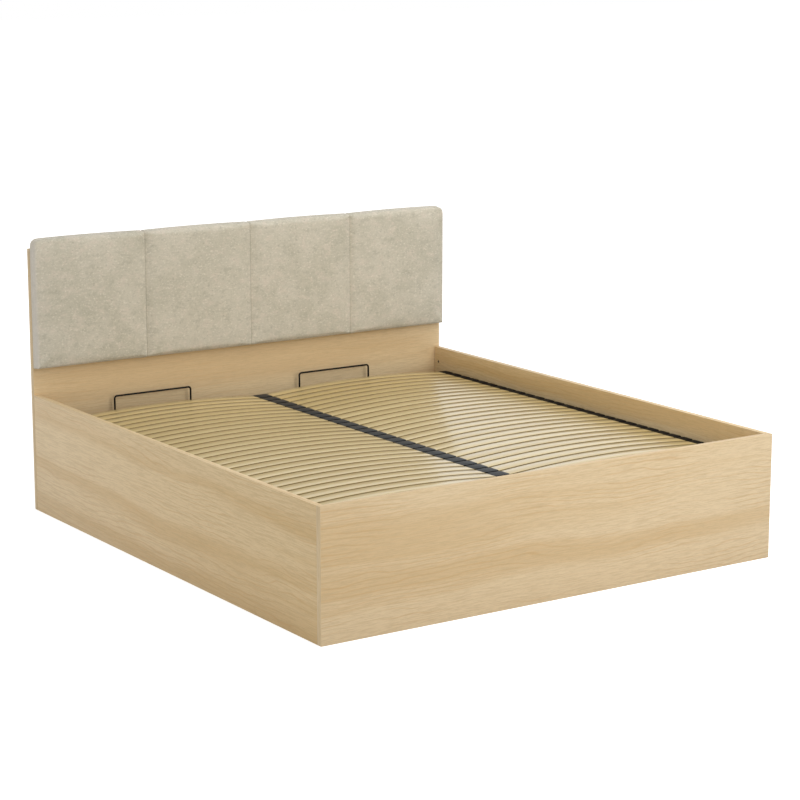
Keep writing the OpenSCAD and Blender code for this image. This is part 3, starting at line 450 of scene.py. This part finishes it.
def hardboard(name):
    """Storage floor: bare brown hardboard with felted fibres."""
    made, tree, surface = material(name, Specular_IOR_Level=0.25)
    here = place(tree)
    felt = spots(tree, here, (160, 160, 160), 5.0, 0.7, 1.2)
    clouds = spots(tree, here, (5, 5, 5), 3.0, 0.5)
    tone = blend_colours(tree, tween(tree, clouds, 0.3, 0.7), (0.38, 0.265, 0.16),
                         (0.33, 0.225, 0.135))
    tone = blend_colours(tree, tween(tree, felt, 0.45, 0.7, 0.0, 0.6), tone, (0.16, 0.10, 0.06))
    finish_with(tree, surface, tone, maths(tree, "MULTIPLY_ADD", felt, 0.2, 0.6), felt, 0.15 * MM)
    return made


# Mesh helpers

def solids(node):
    """Lowest and highest corner of each separate solid of a CAD node."""
    bm = bmesh.new()
    bm.from_mesh(NODES[node].data)
    bmesh.ops.remove_doubles(bm, verts=bm.verts[:], dist=1e-6)
    left, boxes = set(bm.verts), []
    while left:
        heap, seen = [left.pop()], []
        while heap:
            v = heap.pop()
            seen.append(v.co.copy())
            for e in v.link_edges:
                w = e.other_vert(v)
                if w in left:
                    left.discard(w)
                    heap.append(w)
        lo = Vector(map(min, zip(*seen)))
        hi = Vector(map(max, zip(*seen)))
        boxes.append((lo, hi))
    bm.free()
    return sorted(boxes, key=lambda b: tuple(round(c, 4) for c in (b[0].x, b[0].y, b[0].z)))


def block(bm, lo, hi):
    """A box between two corners; returns its vertices."""
    made = bmesh.ops.create_cube(bm, size=1.0)["verts"]
    bmesh.ops.scale(bm, vec=hi - lo, verts=made)
    bmesh.ops.translate(bm, vec=(lo + hi) / 2, verts=made)
    return made


def rod(bm, a, b, radius, sides):
    """A round bar between two points; returns its vertices."""
    made = bmesh.ops.create_cone(bm, cap_ends=True, segments=sides, radius1=radius,
                                 radius2=radius, depth=(b - a).length)["verts"]
    turn = Vector((0, 0, 1)).rotation_difference(b - a).to_matrix().to_4x4()
    bmesh.ops.transform(bm, matrix=Matrix.Translation((a + b) / 2) @ turn, verts=made)
    return made


def soften(bm, edges, size, segments):
    """Rounds these edges."""
    bmesh.ops.bevel(bm, geom=edges, offset=size, offset_type="OFFSET", segments=segments,
                    profile=0.5, affect="EDGES", clamp_overlap=True, material=-1)


def edges_of(verts):
    """The edges between these vertices."""
    own = set(verts)
    return list({e for v in own for e in v.link_edges if e.other_vert(v) in own})


def turned_edge(edge):
    """True where two faces of a box meet."""
    return len(edge.link_faces) == 2 and edge.calc_face_angle(0) > math.radians(60)


def piece(name, bm, body, materials, replaces=(), smooth=math.radians(35)):
    """Makes the finished object of a bmesh, riding on its body."""
    bmesh.ops.recalc_face_normals(bm, faces=bm.faces[:])
    mesh = bpy.data.meshes.new(name)
    bm.to_mesh(mesh)
    bm.free()
    made = bpy.data.objects.new(name, mesh)
    SCENE.collection.objects.link(made)
    for m in materials:
        mesh.materials.append(m)
    mesh.shade_smooth()
    mesh.set_sharp_from_angle(angle=smooth)
    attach(made, body)
    if replaces:
        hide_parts(*replaces)
    return made


def joined(parts):
    """One bmesh made of many."""
    whole, carrier = bmesh.new(), bpy.data.meshes.new("carrier")
    for one in parts:
        one.to_mesh(carrier)
        one.free()
        whole.from_mesh(carrier)
    bpy.data.meshes.remove(carrier)
    return whole


def cut_holes(target, cutters, name):
    """Cuts the cutters' bmesh out of an object and applies the cut."""
    mesh = bpy.data.meshes.new(name)
    bmesh.ops.recalc_face_normals(cutters, faces=cutters.faces[:])
    cutters.to_mesh(mesh)
    cutters.free()
    tool = bpy.data.objects.new(name, mesh)
    SCENE.collection.objects.link(tool)
    cut = target.modifiers.new("holes", "BOOLEAN")
    cut.object, cut.operation, cut.solver = tool, "DIFFERENCE", "EXACT"
    apply_modifiers(target)
    bpy.data.objects.remove(tool)


def apply_modifiers(target):
    """Replaces the mesh by what its modifiers give, and drops them."""
    bpy.context.view_layer.update()
    done = bpy.data.meshes.new_from_object(target.evaluated_get(
        bpy.context.evaluated_depsgraph_get()))
    target.modifiers.clear()
    target.data = done


def dress(node, look):
    """Gives a CAD node that stays its material."""
    for s in NODES[node].material_slots:
        s.material = look


# Panels of the box

EDGE_ROUNDING = 0.8 * MM
HOLE_PLAY = 0.4 * MM
NUT_PLAY = 0.35 * MM
BOLT_HEAD_DEPTH = 2.2 * MM
SCREW_HEAD_DEPTH = 2.6 * MM
ROUND_SIDES = 32


def board(name, node, thin, faces, bands, ends, holes=None):
    """A laminated board with rounded, banded edges and ends. thin is the axis through it."""
    lo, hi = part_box(node)
    bm = bmesh.new()
    block(bm, lo, hi)
    soften(bm, bm.edges[:], EDGE_ROUNDING, 2)
    bm.normal_update()
    for f in bm.faces:
        on_face, level = abs(f.normal[thin]) > 0.95, abs(f.normal.z) > 0.5
        f.material_index = 0 if on_face else 1 if level else 2
    made = piece(name, bm, BODY_OF[node], [faces, bands, ends], [node])
    if holes is not None:
        cut_holes(made, holes, name + "_cutters")
        made.data.set_sharp_from_angle(angle=math.radians(35))
    return made


def barrel_holes(side):
    """The blind holes that the barrel nuts sit in, on one side panel's inner face."""
    cutters = bmesh.new()
    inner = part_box("right_side_panel")[0].x
    for lo, hi in solids("head_barrel_nuts"):
        if (lo.x + hi.x) * side < 0:
            continue
        y, z = (lo.y + hi.y) / 2, (lo.z + hi.z) / 2
        outer = side * (inner + (hi.x - lo.x) + HOLE_PLAY)
        rod(cutters, Vector((side * (inner - MM), y, z)), Vector((outer, y, z)),
            (hi.z - lo.z) / 2 + NUT_PLAY, ROUND_SIDES)
    return cutters


def head_recesses():
    """The counterbores on the headboard's back that bolt and screw heads sit in."""
    cutters = bmesh.new()
    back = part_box("headboard_panel")[1].y
    for node, head in (("head_bolts", BOLT_HEAD_DEPTH), ("cushion_screws", SCREW_HEAD_DEPTH)):
        for lo, hi in solids(node):
            x, z = (lo.x + hi.x) / 2, (lo.z + hi.z) / 2
            rod(cutters, Vector((x, hi.y - head, z)), Vector((x, back + MM, z)),
                (hi.x - lo.x) / 2 + HOLE_PLAY, ROUND_SIDES)
    return cutters


def make_panels():
    """The four boards of the box and the headboard, with their bands."""
    faces = {
        "foot": laminate("panel_foot", "x", PANEL_LIGHT, PANEL_DARK, 7.0, -0.13),
        "side": laminate("panel_side", "y", SIDE_LIGHT, SIDE_DARK, 7.0, 3.1, 0.85),
        "head": laminate("panel_head", "x", HEAD_LIGHT, HEAD_DARK, 6.0, 6.3, 0.5),
    }
    along_x = laminate("edge_band_x", "x", BAND_LIGHT, BAND_DARK, 4.0, 1.7)
    along_y = laminate("edge_band_y", "y", BAND_LIGHT, BAND_DARK, 4.0, 2.9)
    upright = laminate("edge_band_z", "z", BAND_LIGHT, BAND_DARK, 4.0, 2.2)
    board("foot_board", "foot_panel", 1, faces["foot"], along_x, upright)
    board("left_board", "left_side_panel", 0, faces["side"], along_y, upright, barrel_holes(-1))
    board("right_board", "right_side_panel", 0, faces["side"], along_y, upright, barrel_holes(1))
    board("head_board", "headboard_panel", 1, faces["head"], along_x, upright, head_recesses())


make_panels()


# Headboard cushion

SECTIONS = 4
FACE_STEP = 11.5 * MM
SEAM_LOOPS = (0.0, 0.9 * MM, 2.4 * MM, 5.0 * MM)
SEAM_DEPTH = 5.5 * MM
SEAM_WIDTH = 4.2 * MM
EDGE_LOOPS = (0.0, 1.5 * MM, 4.0 * MM, 7.5 * MM, 12.0 * MM, 18.0 * MM)
SIDE_CUTS = 7
FRONT_R = 12 * MM
TOP_CORNER_R = 29 * MM
LOW_CORNER_R = 7 * MM
CROWN = 3.4 * MM
TOP_DIP = 3.0 * MM
DIP_REACH = 60 * MM
FOAM_WAVE = 0.5 * MM
FOAM_WAVE_SCALE = 9.0
CROWN_DEPTH = 14 * MM
SEAM_HOLD = 1.2 * MM
BACK_HOLD = 6 * MM
FADE_DEPTH = 4 * MM
PUFF_CAP = 3.0 * MM
PUFF_ROOM = 0.8 * MM
CAD_GAP = 0.4 * MM
BACK_GAP = 0.3 * MM
CLOTH_PRESSURE = 4.0
CLOTH_FRAMES = 20


def spaced(start, end, step):
    """Places from start to end, about a step apart, without the two ends."""
    n = max(1, round((end - start) / step))
    return [start + (end - start) * i / n for i in range(1, n)]


def width_places(lo, hi, seams):
    """Where the cushion's mesh has a loop across its width: close at ends and seams."""
    ends = [lo + t for t in EDGE_LOOPS] + [hi - t for t in EDGE_LOOPS]
    sewn = [s + k * t for s in seams for t in SEAM_LOOPS for k in (-1, 1)]
    stops = [lo + EDGE_LOOPS[-1], *seams, hi - EDGE_LOOPS[-1]]
    open_runs = []
    for a, b in zip(stops, stops[1:]):
        a += SEAM_LOOPS[-1] if a in seams else 0
        b -= SEAM_LOOPS[-1] if b in seams else 0
        open_runs += spaced(a, b, FACE_STEP)
    return sorted({round(x, 6) for x in ends + sewn + open_runs})


def height_places(lo, hi):
    """Where the cushion's mesh has a loop over its height."""
    ends = [lo + t for t in EDGE_LOOPS] + [hi - t for t in EDGE_LOOPS]
    return sorted({round(z, 6) for z in
                   ends + spaced(lo + EDGE_LOOPS[-1], hi - EDGE_LOOPS[-1], FACE_STEP)})


def round_corner(v, lo, hi):
    """Rounds the cushion's corners seen from the front."""
    radius = TOP_CORNER_R if v.co.z > (lo.z + hi.z) / 2 else LOW_CORNER_R
    cx = min(max(v.co.x, lo.x + radius), hi.x - radius)
    cz = min(max(v.co.z, lo.z + radius), hi.z - radius)
    off = Vector((v.co.x - cx, 0, v.co.z - cz))
    if abs(off.x) > 1e-6 and abs(off.z) > 1e-6:
        square_reach = max(abs(off.x), abs(off.z))
        off = off.normalized() * square_reach
        v.co.x, v.co.z = cx + off.x, cz + off.z


def inside_outline(x, z, lo, hi):
    """How far a place lies inside the cushion's outline, and the way out."""
    radius = TOP_CORNER_R if z > (lo.z + hi.z) / 2 else LOW_CORNER_R
    cx = min(max(x, lo.x + radius), hi.x - radius)
    cz = min(max(z, lo.z + radius), hi.z - radius)
    off = Vector((x - cx, 0, z - cz))
    if off.length > 1e-7 and abs(off.x) > 1e-7 and abs(off.z) > 1e-7:
        return radius - off.length, off.normalized()
    gaps = [(x - lo.x, Vector((-1, 0, 0))), (hi.x - x, Vector((1, 0, 0))),
            (z - lo.z, Vector((0, 0, -1))), (hi.z - z, Vector((0, 0, 1)))]
    return min(gaps, key=lambda g: g[0])


def round_front(v, lo, hi):
    """Rounds the cushion's front edge all round."""
    d, out = inside_outline(v.co.x, v.co.z, lo, hi)
    e = v.co.y - lo.y
    if d >= FRONT_R or e >= FRONT_R:
        return
    reach = math.hypot(d - FRONT_R, e - FRONT_R)
    if reach < 1e-9:
        return
    outer = max(FRONT_R - d, FRONT_R - e)
    new_d = FRONT_R + (d - FRONT_R) * outer / reach
    new_e = FRONT_R + (e - FRONT_R) * outer / reach
    v.co -= out * (new_d - d)
    v.co.y = lo.y + new_e


def across_section(x, lo, hi):
    """A place's way across its own section, -1 to 1."""
    part = (x - lo.x) * SECTIONS / (hi.x - lo.x)
    return 2 * (part - min(SECTIONS - 1, math.floor(part))) - 1


def pad_mesh(lo, hi, seams):
    """The cushion's cover before it is filled: a rounded slab with its sewn channels."""
    xs, zs = width_places(lo.x, hi.x, seams), height_places(lo.z, hi.z)
    bm = bmesh.new()
    bmesh.ops.create_grid(bm, x_segments=len(xs) - 1, y_segments=len(zs) - 1, size=0.5)
    for v in bm.verts:
        i = round((v.co.x + 0.5) * (len(xs) - 1))
        j = round((v.co.y + 0.5) * (len(zs) - 1))
        v.co = Vector((xs[i], hi.y, zs[j]))
    made = bmesh.ops.extrude_face_region(bm, geom=bm.faces[:])["geom"]
    front = [g for g in made if isinstance(g, bmesh.types.BMVert)]
    bmesh.ops.translate(bm, vec=(0, lo.y - hi.y, 0), verts=front)
    depth_edges = [e for e in bm.edges if abs(e.verts[0].co.y - e.verts[1].co.y) > MM]
    bmesh.ops.subdivide_edges(bm, edges=depth_edges, cuts=SIDE_CUTS, use_grid_fill=True)
    for v in bm.verts:
        round_corner(v, lo, hi)
    for v in bm.verts:
        round_front(v, lo, hi)
    bmesh.ops.recalc_face_normals(bm, faces=bm.faces[:])
    bm.normal_update()
    moves = []
    for v in bm.verts:
        across = across_section(v.co.x, lo, hi)
        away = min(abs(v.co.x - s) for s in seams)
        sink = SEAM_DEPTH * max(0.0, 1 - away / SEAM_WIDTH) ** 1.5
        fade = 1.0 if v.normal.z > 0.5 else min(1.0, max(0.0, (hi.y - v.co.y) / FADE_DEPTH))
        dip = TOP_DIP * across * across * max(0.0, 1 - (hi.z - v.co.z) / DIP_REACH)
        inward = -v.normal
        inward.x = 0
        if inward.length < 0.5:
            inward = Vector((0, 0, 0))
        moves.append(inward * sink * fade - Vector((0, 0, dip)))
    for v, move in zip(bm.verts, moves):
        v.co += move
    return bm


def fill_pad(pad, back, seams):
    """Blows the cover up with the cloth simulation, held at its back and seams."""
    rest = [v.co.copy() for v in pad.data.vertices]
    held = pad.vertex_groups.new(name="held")
    for i, co in enumerate(rest):
        at_seam = min(abs(co.x - s) for s in seams) < SEAM_HOLD
        if co.y > back - BACK_HOLD or at_seam:
            held.add([i], 1.0, "REPLACE")
    cloth = pad.modifiers.new("filling", "CLOTH")
    cloth.settings.quality = 5
    cloth.settings.use_pressure = True
    cloth.settings.uniform_pressure_force = CLOTH_PRESSURE
    cloth.settings.effector_weights.gravity = 0.0
    cloth.settings.vertex_group_mass = "held"
    cloth.collision_settings.use_collision = False
    cloth.point_cache.frame_start, cloth.point_cache.frame_end = 1, CLOTH_FRAMES
    for f in range(1, CLOTH_FRAMES + 1):
        SCENE.frame_set(f)
    apply_modifiers(pad)
    SCENE.frame_set(1)
    for v, start in zip(pad.data.vertices, rest):
        move = v.co - start
        if move.length > PUFF_CAP:
            move *= PUFF_CAP / move.length
        v.co = start + move


def crown_pad(pad, lo, hi):
    """Gives each section its crown and the foam's faint unevenness."""
    for v in pad.data.vertices:
        near = max(0.0, 1 - (v.co.y - lo.y) / CROWN_DEPTH)
        across = across_section(v.co.x, lo, hi)
        up = 2 * (v.co.z - lo.z) / (hi.z - lo.z) - 1
        crown = CROWN * (1 - across ** 6) * (1 - up ** 6)
        wave = FOAM_WAVE * noise.noise(v.co * FOAM_WAVE_SCALE) * (1 - across ** 4)
        v.co.y -= near * max(0.0, crown + wave)


def make_cushion():
    """The padded cushion, in the space of its CAD solid and backing board."""
    cad_lo, cad_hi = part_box("headboard_cushion")
    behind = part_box("cushion_backing_board")[1].y
    lo = Vector((cad_lo.x, cad_lo.y + CROWN + CAD_GAP, cad_lo.z))
    hi = Vector((cad_hi.x, behind - BACK_GAP, cad_hi.z))
    lo += Vector((PUFF_ROOM, PUFF_ROOM, PUFF_ROOM))
    hi -= Vector((PUFF_ROOM, 0, PUFF_ROOM))
    seams = [lo.x + (hi.x - lo.x) * i / SECTIONS for i in range(1, SECTIONS)]
    bm = pad_mesh(lo, hi, seams)
    cloth = cushion_cloth("cushion_fabric", seams, hi.x)
    pad = piece("headboard_pad", bm, "bed_box", [cloth],
                ["headboard_cushion", "cushion_backing_board"], math.radians(180))
    fill_pad(pad, hi.y, seams)
    crown_pad(pad, lo, hi)
    pad.data.shade_smooth()
    finer = pad.modifiers.new("finer", "SUBSURF")
    finer.levels = finer.render_levels = 1
    apply_modifiers(pad)


make_cushion()


# Slats

SLAT_CUTS = 23
SLAT_EDGE_R = 1.2 * MM


def slat(lo, hi):
    """One bowed slat with rounded long edges. Its UV map keeps its flat shape."""
    bm = bmesh.new()
    flat = bm.loops.layers.uv.verify()
    block(bm, Vector((lo.x, lo.y, 0)), Vector((hi.x, hi.y, SLAT_THICKNESS)))
    long_way = [e for e in bm.edges if abs(e.verts[0].co.x - e.verts[1].co.x) > MM]
    bmesh.ops.subdivide_edges(bm, edges=long_way, cuts=SLAT_CUTS, use_grid_fill=True)
    corners = [e for e in bm.edges if turned_edge(e)
               and abs(e.verts[0].co.x - e.verts[1].co.x) > MM]
    soften(bm, corners, SLAT_EDGE_R, 2)
    bmesh.ops.recalc_face_normals(bm, faces=bm.faces[:])
    bm.normal_update()
    # Faces turned along the row take the plies material, which carries painted shade.
    for f in bm.faces:
        f.material_index = 1 if abs(f.normal.y) > 0.6 else 0
        for loop in f.loops:
            loop[flat].uv = (loop.vert.co.x, loop.vert.co.z)
    middle, half = (lo.x + hi.x) / 2, (hi.x - lo.x) / 2
    bow = hi.z - lo.z - SLAT_THICKNESS
    radius = (half * half + bow * bow) / (2 * bow)
    for v in bm.verts:
        v.co.z += lo.z + math.sqrt(radius ** 2 - (v.co.x - middle) ** 2) - (radius - bow)
    return bm


def make_slats():
    """Both rows of slats, with one look for all."""
    ys = sorted((lo.y + hi.y) / 2 for lo, hi in solids("slats_left"))
    pitch = (ys[-1] - ys[0]) / (len(ys) - 1)
    looks = [slat_faces("slat_birch", ys[0], pitch), shaded_slat_plies("shaded_slat_plies")]
    for side in ("left", "right"):
        node = "slats_" + side
        made = piece("bowed_slats_" + side, joined(slat(lo, hi) for lo, hi in solids(node)),
                     "lift_base", looks, [node])
        made.data.uv_layers[0].name = "plies"


make_slats()


# Slat caps

CAP_CORNER_R = 9.0 * MM
CAP_TOP_R = 3.6 * MM
CAP_RIM = 1.8 * MM
CAP_LIP = 0.3 * MM
MOUTH_DEPTH = 6.0 * MM
PEG_R = 4.0 * MM
PEG_SIDES = 12
PEG_OVERLAP = 0.2 * MM
TOUCH = 0.01 * MM


def cap(lo, hi, seat, mouths, pegs):
    """One slat cap: a rounded hood with a mouth for each slat, near-black matt ends that are
    painted shade for the gaps between caps, and pegs under it.
    """
    bm = bmesh.new()
    block(bm, Vector((lo.x, lo.y, seat)), hi)
    soften(bm, [e for e in bm.edges if abs(e.verts[0].co.z - e.verts[1].co.z) > MM],
           CAP_CORNER_R, 4)
    bm.normal_update()
    soften(bm, [e for e in bm.edges if min(v.co.z for v in e.verts) > hi.z - TOUCH
                and turned_edge(e)], CAP_TOP_R, 3)
    bm.normal_update()
    for way in mouths:
        wall = [f for f in bm.faces if f.normal.x * way > 0.4 and abs(f.normal.z) < 0.1]
        for width in (CAP_RIM, CAP_LIP):
            bmesh.ops.inset_region(bm, faces=wall, thickness=width, use_boundary=True,
                                   use_even_offset=True)
        bmesh.ops.translate(bm, vec=(-way * MOUTH_DEPTH, 0, 0),
                            verts=list({v for f in wall for v in f.verts}))
    bm.normal_update()
    # Painted shade: faces turned along the row take the near-black ends material, for the shade in
    # the gaps between caps.
    for f in bm.faces:
        f.material_index = 1 if abs(f.normal.y) > 0.3 else 0
    middle = (lo.y + hi.y) / 2
    for x in pegs:
        rod(bm, Vector((x, middle, lo.z)), Vector((x, middle, seat + PEG_OVERLAP)), PEG_R,
            PEG_SIDES)
    return bm


def make_caps():
    """The three rows of slat caps, standing on the rails."""
    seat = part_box("frame_side_rail_left")[1].z
    outer = moulded("black_plastic", srgb(17, 14, 11), 0.62, 900.0, 0.08)
    centre = moulded("grey_plastic", srgb(33, 36, 39), 0.55, 900.0, 0.25)
    # Near-black matt plastic: painted shade for the caps' ends.
    ends = moulded("cap_ends_painted_shade", srgb(8, 7, 6), 0.9, 1500.0, 0.05)
    rail_lo, rail_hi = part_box("frame_side_rail_right")
    rail_x = (rail_lo.x + rail_hi.x) / 2
    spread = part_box("frame_centre_rail")[1].x / 2
    for name, node, mouths, pegs, look, slot in (
            ("slat_holders_left", "outer_slat_caps_left", (1.0,), (-rail_x,), outer,
             "black_plastic"),
            ("slat_holders_right", "outer_slat_caps_right", (-1.0,), (rail_x,), outer,
             "black_plastic"),
            ("slat_holders_centre", "centre_slat_caps", (-1.0, 1.0), (-spread, spread), centre,
             "grey_plastic")):
        caps = joined(cap(lo, hi, seat, mouths, pegs) for lo, hi in solids(node))
        piece(name, caps, "lift_base", [look, ends], [node])


make_caps()


# Steel frame

TUBE_R = 3.0 * MM
WELD_R = 2.2 * MM
WELD_PITCH = 3 * MM


def rail(name, node, look):
    """Square steel tubes with rounded corners, one for each solid of the node."""
    bm = bmesh.new()
    for lo, hi in solids(node):
        own = block(bm, lo, hi)
        long_axis = max(range(3), key=lambda k: (hi - lo)[k])
        along = [e for e in edges_of(own)
                 if abs(e.verts[0].co[long_axis] - e.verts[1].co[long_axis]) > 2 * TUBE_R]
        soften(bm, along, TUBE_R, 3)
    piece(name, bm, BODY_OF[node], [look], [node])


def make_welds(look):
    """Weld beads where the tubes of the frame meet."""
    bottom, top = (corner.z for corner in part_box("frame_side_rail_left"))
    bm = bmesh.new()

    def bead(a, b):
        """A row of small lumps of weld from a to b."""
        n = max(2, round((b - a).length / WELD_PITCH))
        for i in range(n):
            at = a.lerp(b, (i + 0.5) / n)
            ball = bmesh.ops.create_icosphere(bm, subdivisions=1, radius=WELD_R)["verts"]
            bmesh.ops.translate(bm, vec=at, verts=ball)

    for lo, hi in solids("frame_cross_rails"):
        for x in (lo.x, hi.x):
            for y in (lo.y, hi.y):
                bead(Vector((x, y, bottom + TUBE_R)), Vector((x, y, top - TUBE_R)))
            bead(Vector((x, lo.y + TUBE_R, bottom)), Vector((x, hi.y - TUBE_R, bottom)))
    for node in ("frame_side_rail_left", "frame_side_rail_right", "frame_centre_rail"):
        lo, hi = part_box(node)
        for y in (lo.y, hi.y):
            for x in (lo.x, hi.x):
                bead(Vector((x, y, bottom + TUBE_R)), Vector((x, y, top - TUBE_R)))
            bead(Vector((lo.x + TUBE_R, y, bottom)), Vector((hi.x - TUBE_R, y, bottom)))
    piece("frame_welds", bm, "lift_base", [look])


FRAME_PAINT = metal("frame_paint", srgb(42, 42, 44), 0.42, 0.0, 900.0, 0.2)
for rail_node in ("frame_side_rail_left", "frame_side_rail_right", "frame_head_rail",
                  "frame_foot_rail", "frame_centre_rail", "frame_cross_rails"):
    rail(rail_node.replace("frame_", "steel_"), rail_node, FRAME_PAINT)
make_welds(FRAME_PAINT)


# CAD nodes that stay, with their materials

def dress_nodes():
    """Gives each CAD node the look of its material slot in the record."""
    zinc = metal("zinc_steel", (0.60, 0.60, 0.57), 0.34, 1.0, 1600.0)
    dark = metal("dark_steel", (0.10, 0.09, 0.08), 0.40, 1.0, 1600.0)
    beech = bare_wood("beech_dowel", "y", srgb(214, 180, 140), srgb(196, 158, 116))
    pine_y = bare_wood("pine_along", "y", srgb(232, 204, 158), srgb(216, 182, 130))
    pine_x = bare_wood("pine_across", "x", srgb(232, 204, 158), srgb(216, 182, 130))
    nylon = moulded("bush_nylon", (0.70, 0.67, 0.58), 0.45)
    retainer = metal("retainer_paint", srgb(16, 10, 6), 0.5, 0.0, 1100.0, specular=0.12)
    looks = {
        "zinc_steel": zinc, "dark_steel": dark, "beech_dowel": beech, "bush_nylon": nylon,
        "fibreboard": hardboard("fibreboard"),
        "black_rubber": moulded("black_rubber", (0.02, 0.02, 0.02), 0.75, 700.0, 0.25),
        "frame_paint": FRAME_PAINT,
        "black_plastic": bpy.data.materials["black_plastic"],
        "retainer_paint": retainer,
        "strut_paint": metal("strut_paint", srgb(26, 26, 27), 0.25, 0.0, 1500.0, 0.5),
        "strut_chrome": metal("strut_chrome", (0.80, 0.80, 0.82), 0.12, 1.0, 2200.0, 0.0, 0.95),
        "backing_cloth": bpy.data.materials["cushion_fabric"],
    }
    for part in frame["record"]["subparts"]:
        node, slot = part["node"], part["material_slot"]
        if slot == "pine":
            dress(node, pine_x if node == "rest_cleat_foot" else pine_y)
        elif slot in looks:
            dress(node, looks[slot])


dress_nodes()


# Floor, world and lamps

WORLD_LIGHT = 0.45
FLOOR_GREY = 0.62
FLOOR_GLOW = 0.78
WHITE_FROM, WHITE_BY = 2.5, 6.0
FLOOR_HALF = 40


def seen_straight(tree):
    """1 where the camera, a mirror or glass looks at it, and 0 where light falls on it."""
    path = shade(tree, "LightPath").outputs
    mirrored = maths(tree, "MAXIMUM", path["Is Glossy Ray"], path["Is Transmission Ray"])
    return maths(tree, "MAXIMUM", path["Is Camera Ray"], mirrored)


def make_world(strength):
    """White where it is seen, and at its own strength where it lights the bed."""
    world = bpy.data.worlds.new("studio")
    SCENE.world = world
    world.use_nodes = True
    tree = world.node_tree
    tree.nodes.clear()
    level = tween(tree, seen_straight(tree), 0.0, 1.0, strength, 1.0)
    background = shade(tree, "Background", {"Color": (1, 1, 1, 1), "Strength": level})
    shade(tree, "OutputWorld", {"Surface": background.outputs[0]})


def make_floor():
    """A matt floor that keeps the bed's shadow and goes to white away from the bed."""
    made = bpy.data.materials.new("studio_floor")
    made.use_nodes = True
    tree = made.node_tree
    tree.nodes.clear()
    matt = shade(tree, "BsdfDiffuse", {"Color": (FLOOR_GREY, FLOOR_GREY, FLOOR_GREY, 1)})
    away = shade(tree, "VectorMath", {0: place(tree)}, operation="LENGTH").outputs["Value"]
    level = maths(tree, "MULTIPLY", seen_straight(tree),
                  tween(tree, away, WHITE_FROM, WHITE_BY, FLOOR_GLOW, 1.0))
    glow = shade(tree, "Emission", {"Color": (1, 1, 1, 1), "Strength": level})
    both = shade(tree, "AddShader", {0: matt.outputs[0], 1: glow.outputs[0]})
    shade(tree, "OutputMaterial", {"Surface": both.outputs[0]})
    bm = bmesh.new()
    bmesh.ops.create_grid(bm, x_segments=1, y_segments=1, size=FLOOR_HALF)
    mesh = bpy.data.meshes.new("floor")
    bm.to_mesh(mesh)
    bm.free()
    mesh.materials.append(made)
    floor = bpy.data.objects.new("floor", mesh)
    SCENE.collection.objects.link(floor)


def lamp(name, at, aim, width, height, watts):
    """A soft rectangular lamp at a place, turned to what it lights."""
    data = bpy.data.lights.new(name, "AREA")
    data.shape, data.size, data.size_y, data.energy = "RECTANGLE", width, height, watts
    made = bpy.data.objects.new(name, data)
    SCENE.collection.objects.link(made)
    made.location = at
    made.rotation_euler = (Vector(aim) - Vector(at)).to_track_quat("-Z", "Y").to_euler()


make_world(WORLD_LIGHT)
make_floor()
lamp("key", (1.7, -6.6, 4.2), (0, 0, 0.4), 5.2, 5.2, 258)
lamp("side", (-6.5, -0.5, 0.5), (0, 0.1, 0.35), 5.0, 0.8, 70)
lamp("above", (0.8, -0.7, 3.6), (0.4, -0.4, 0.3), 2.4, 2.4, 60)
lamp("behind", (-0.8, 6.8, 2.6), (0, 0.8, 0.5), 5.0, 3.0, 90)

SCENE.view_settings.view_transform = "Standard"
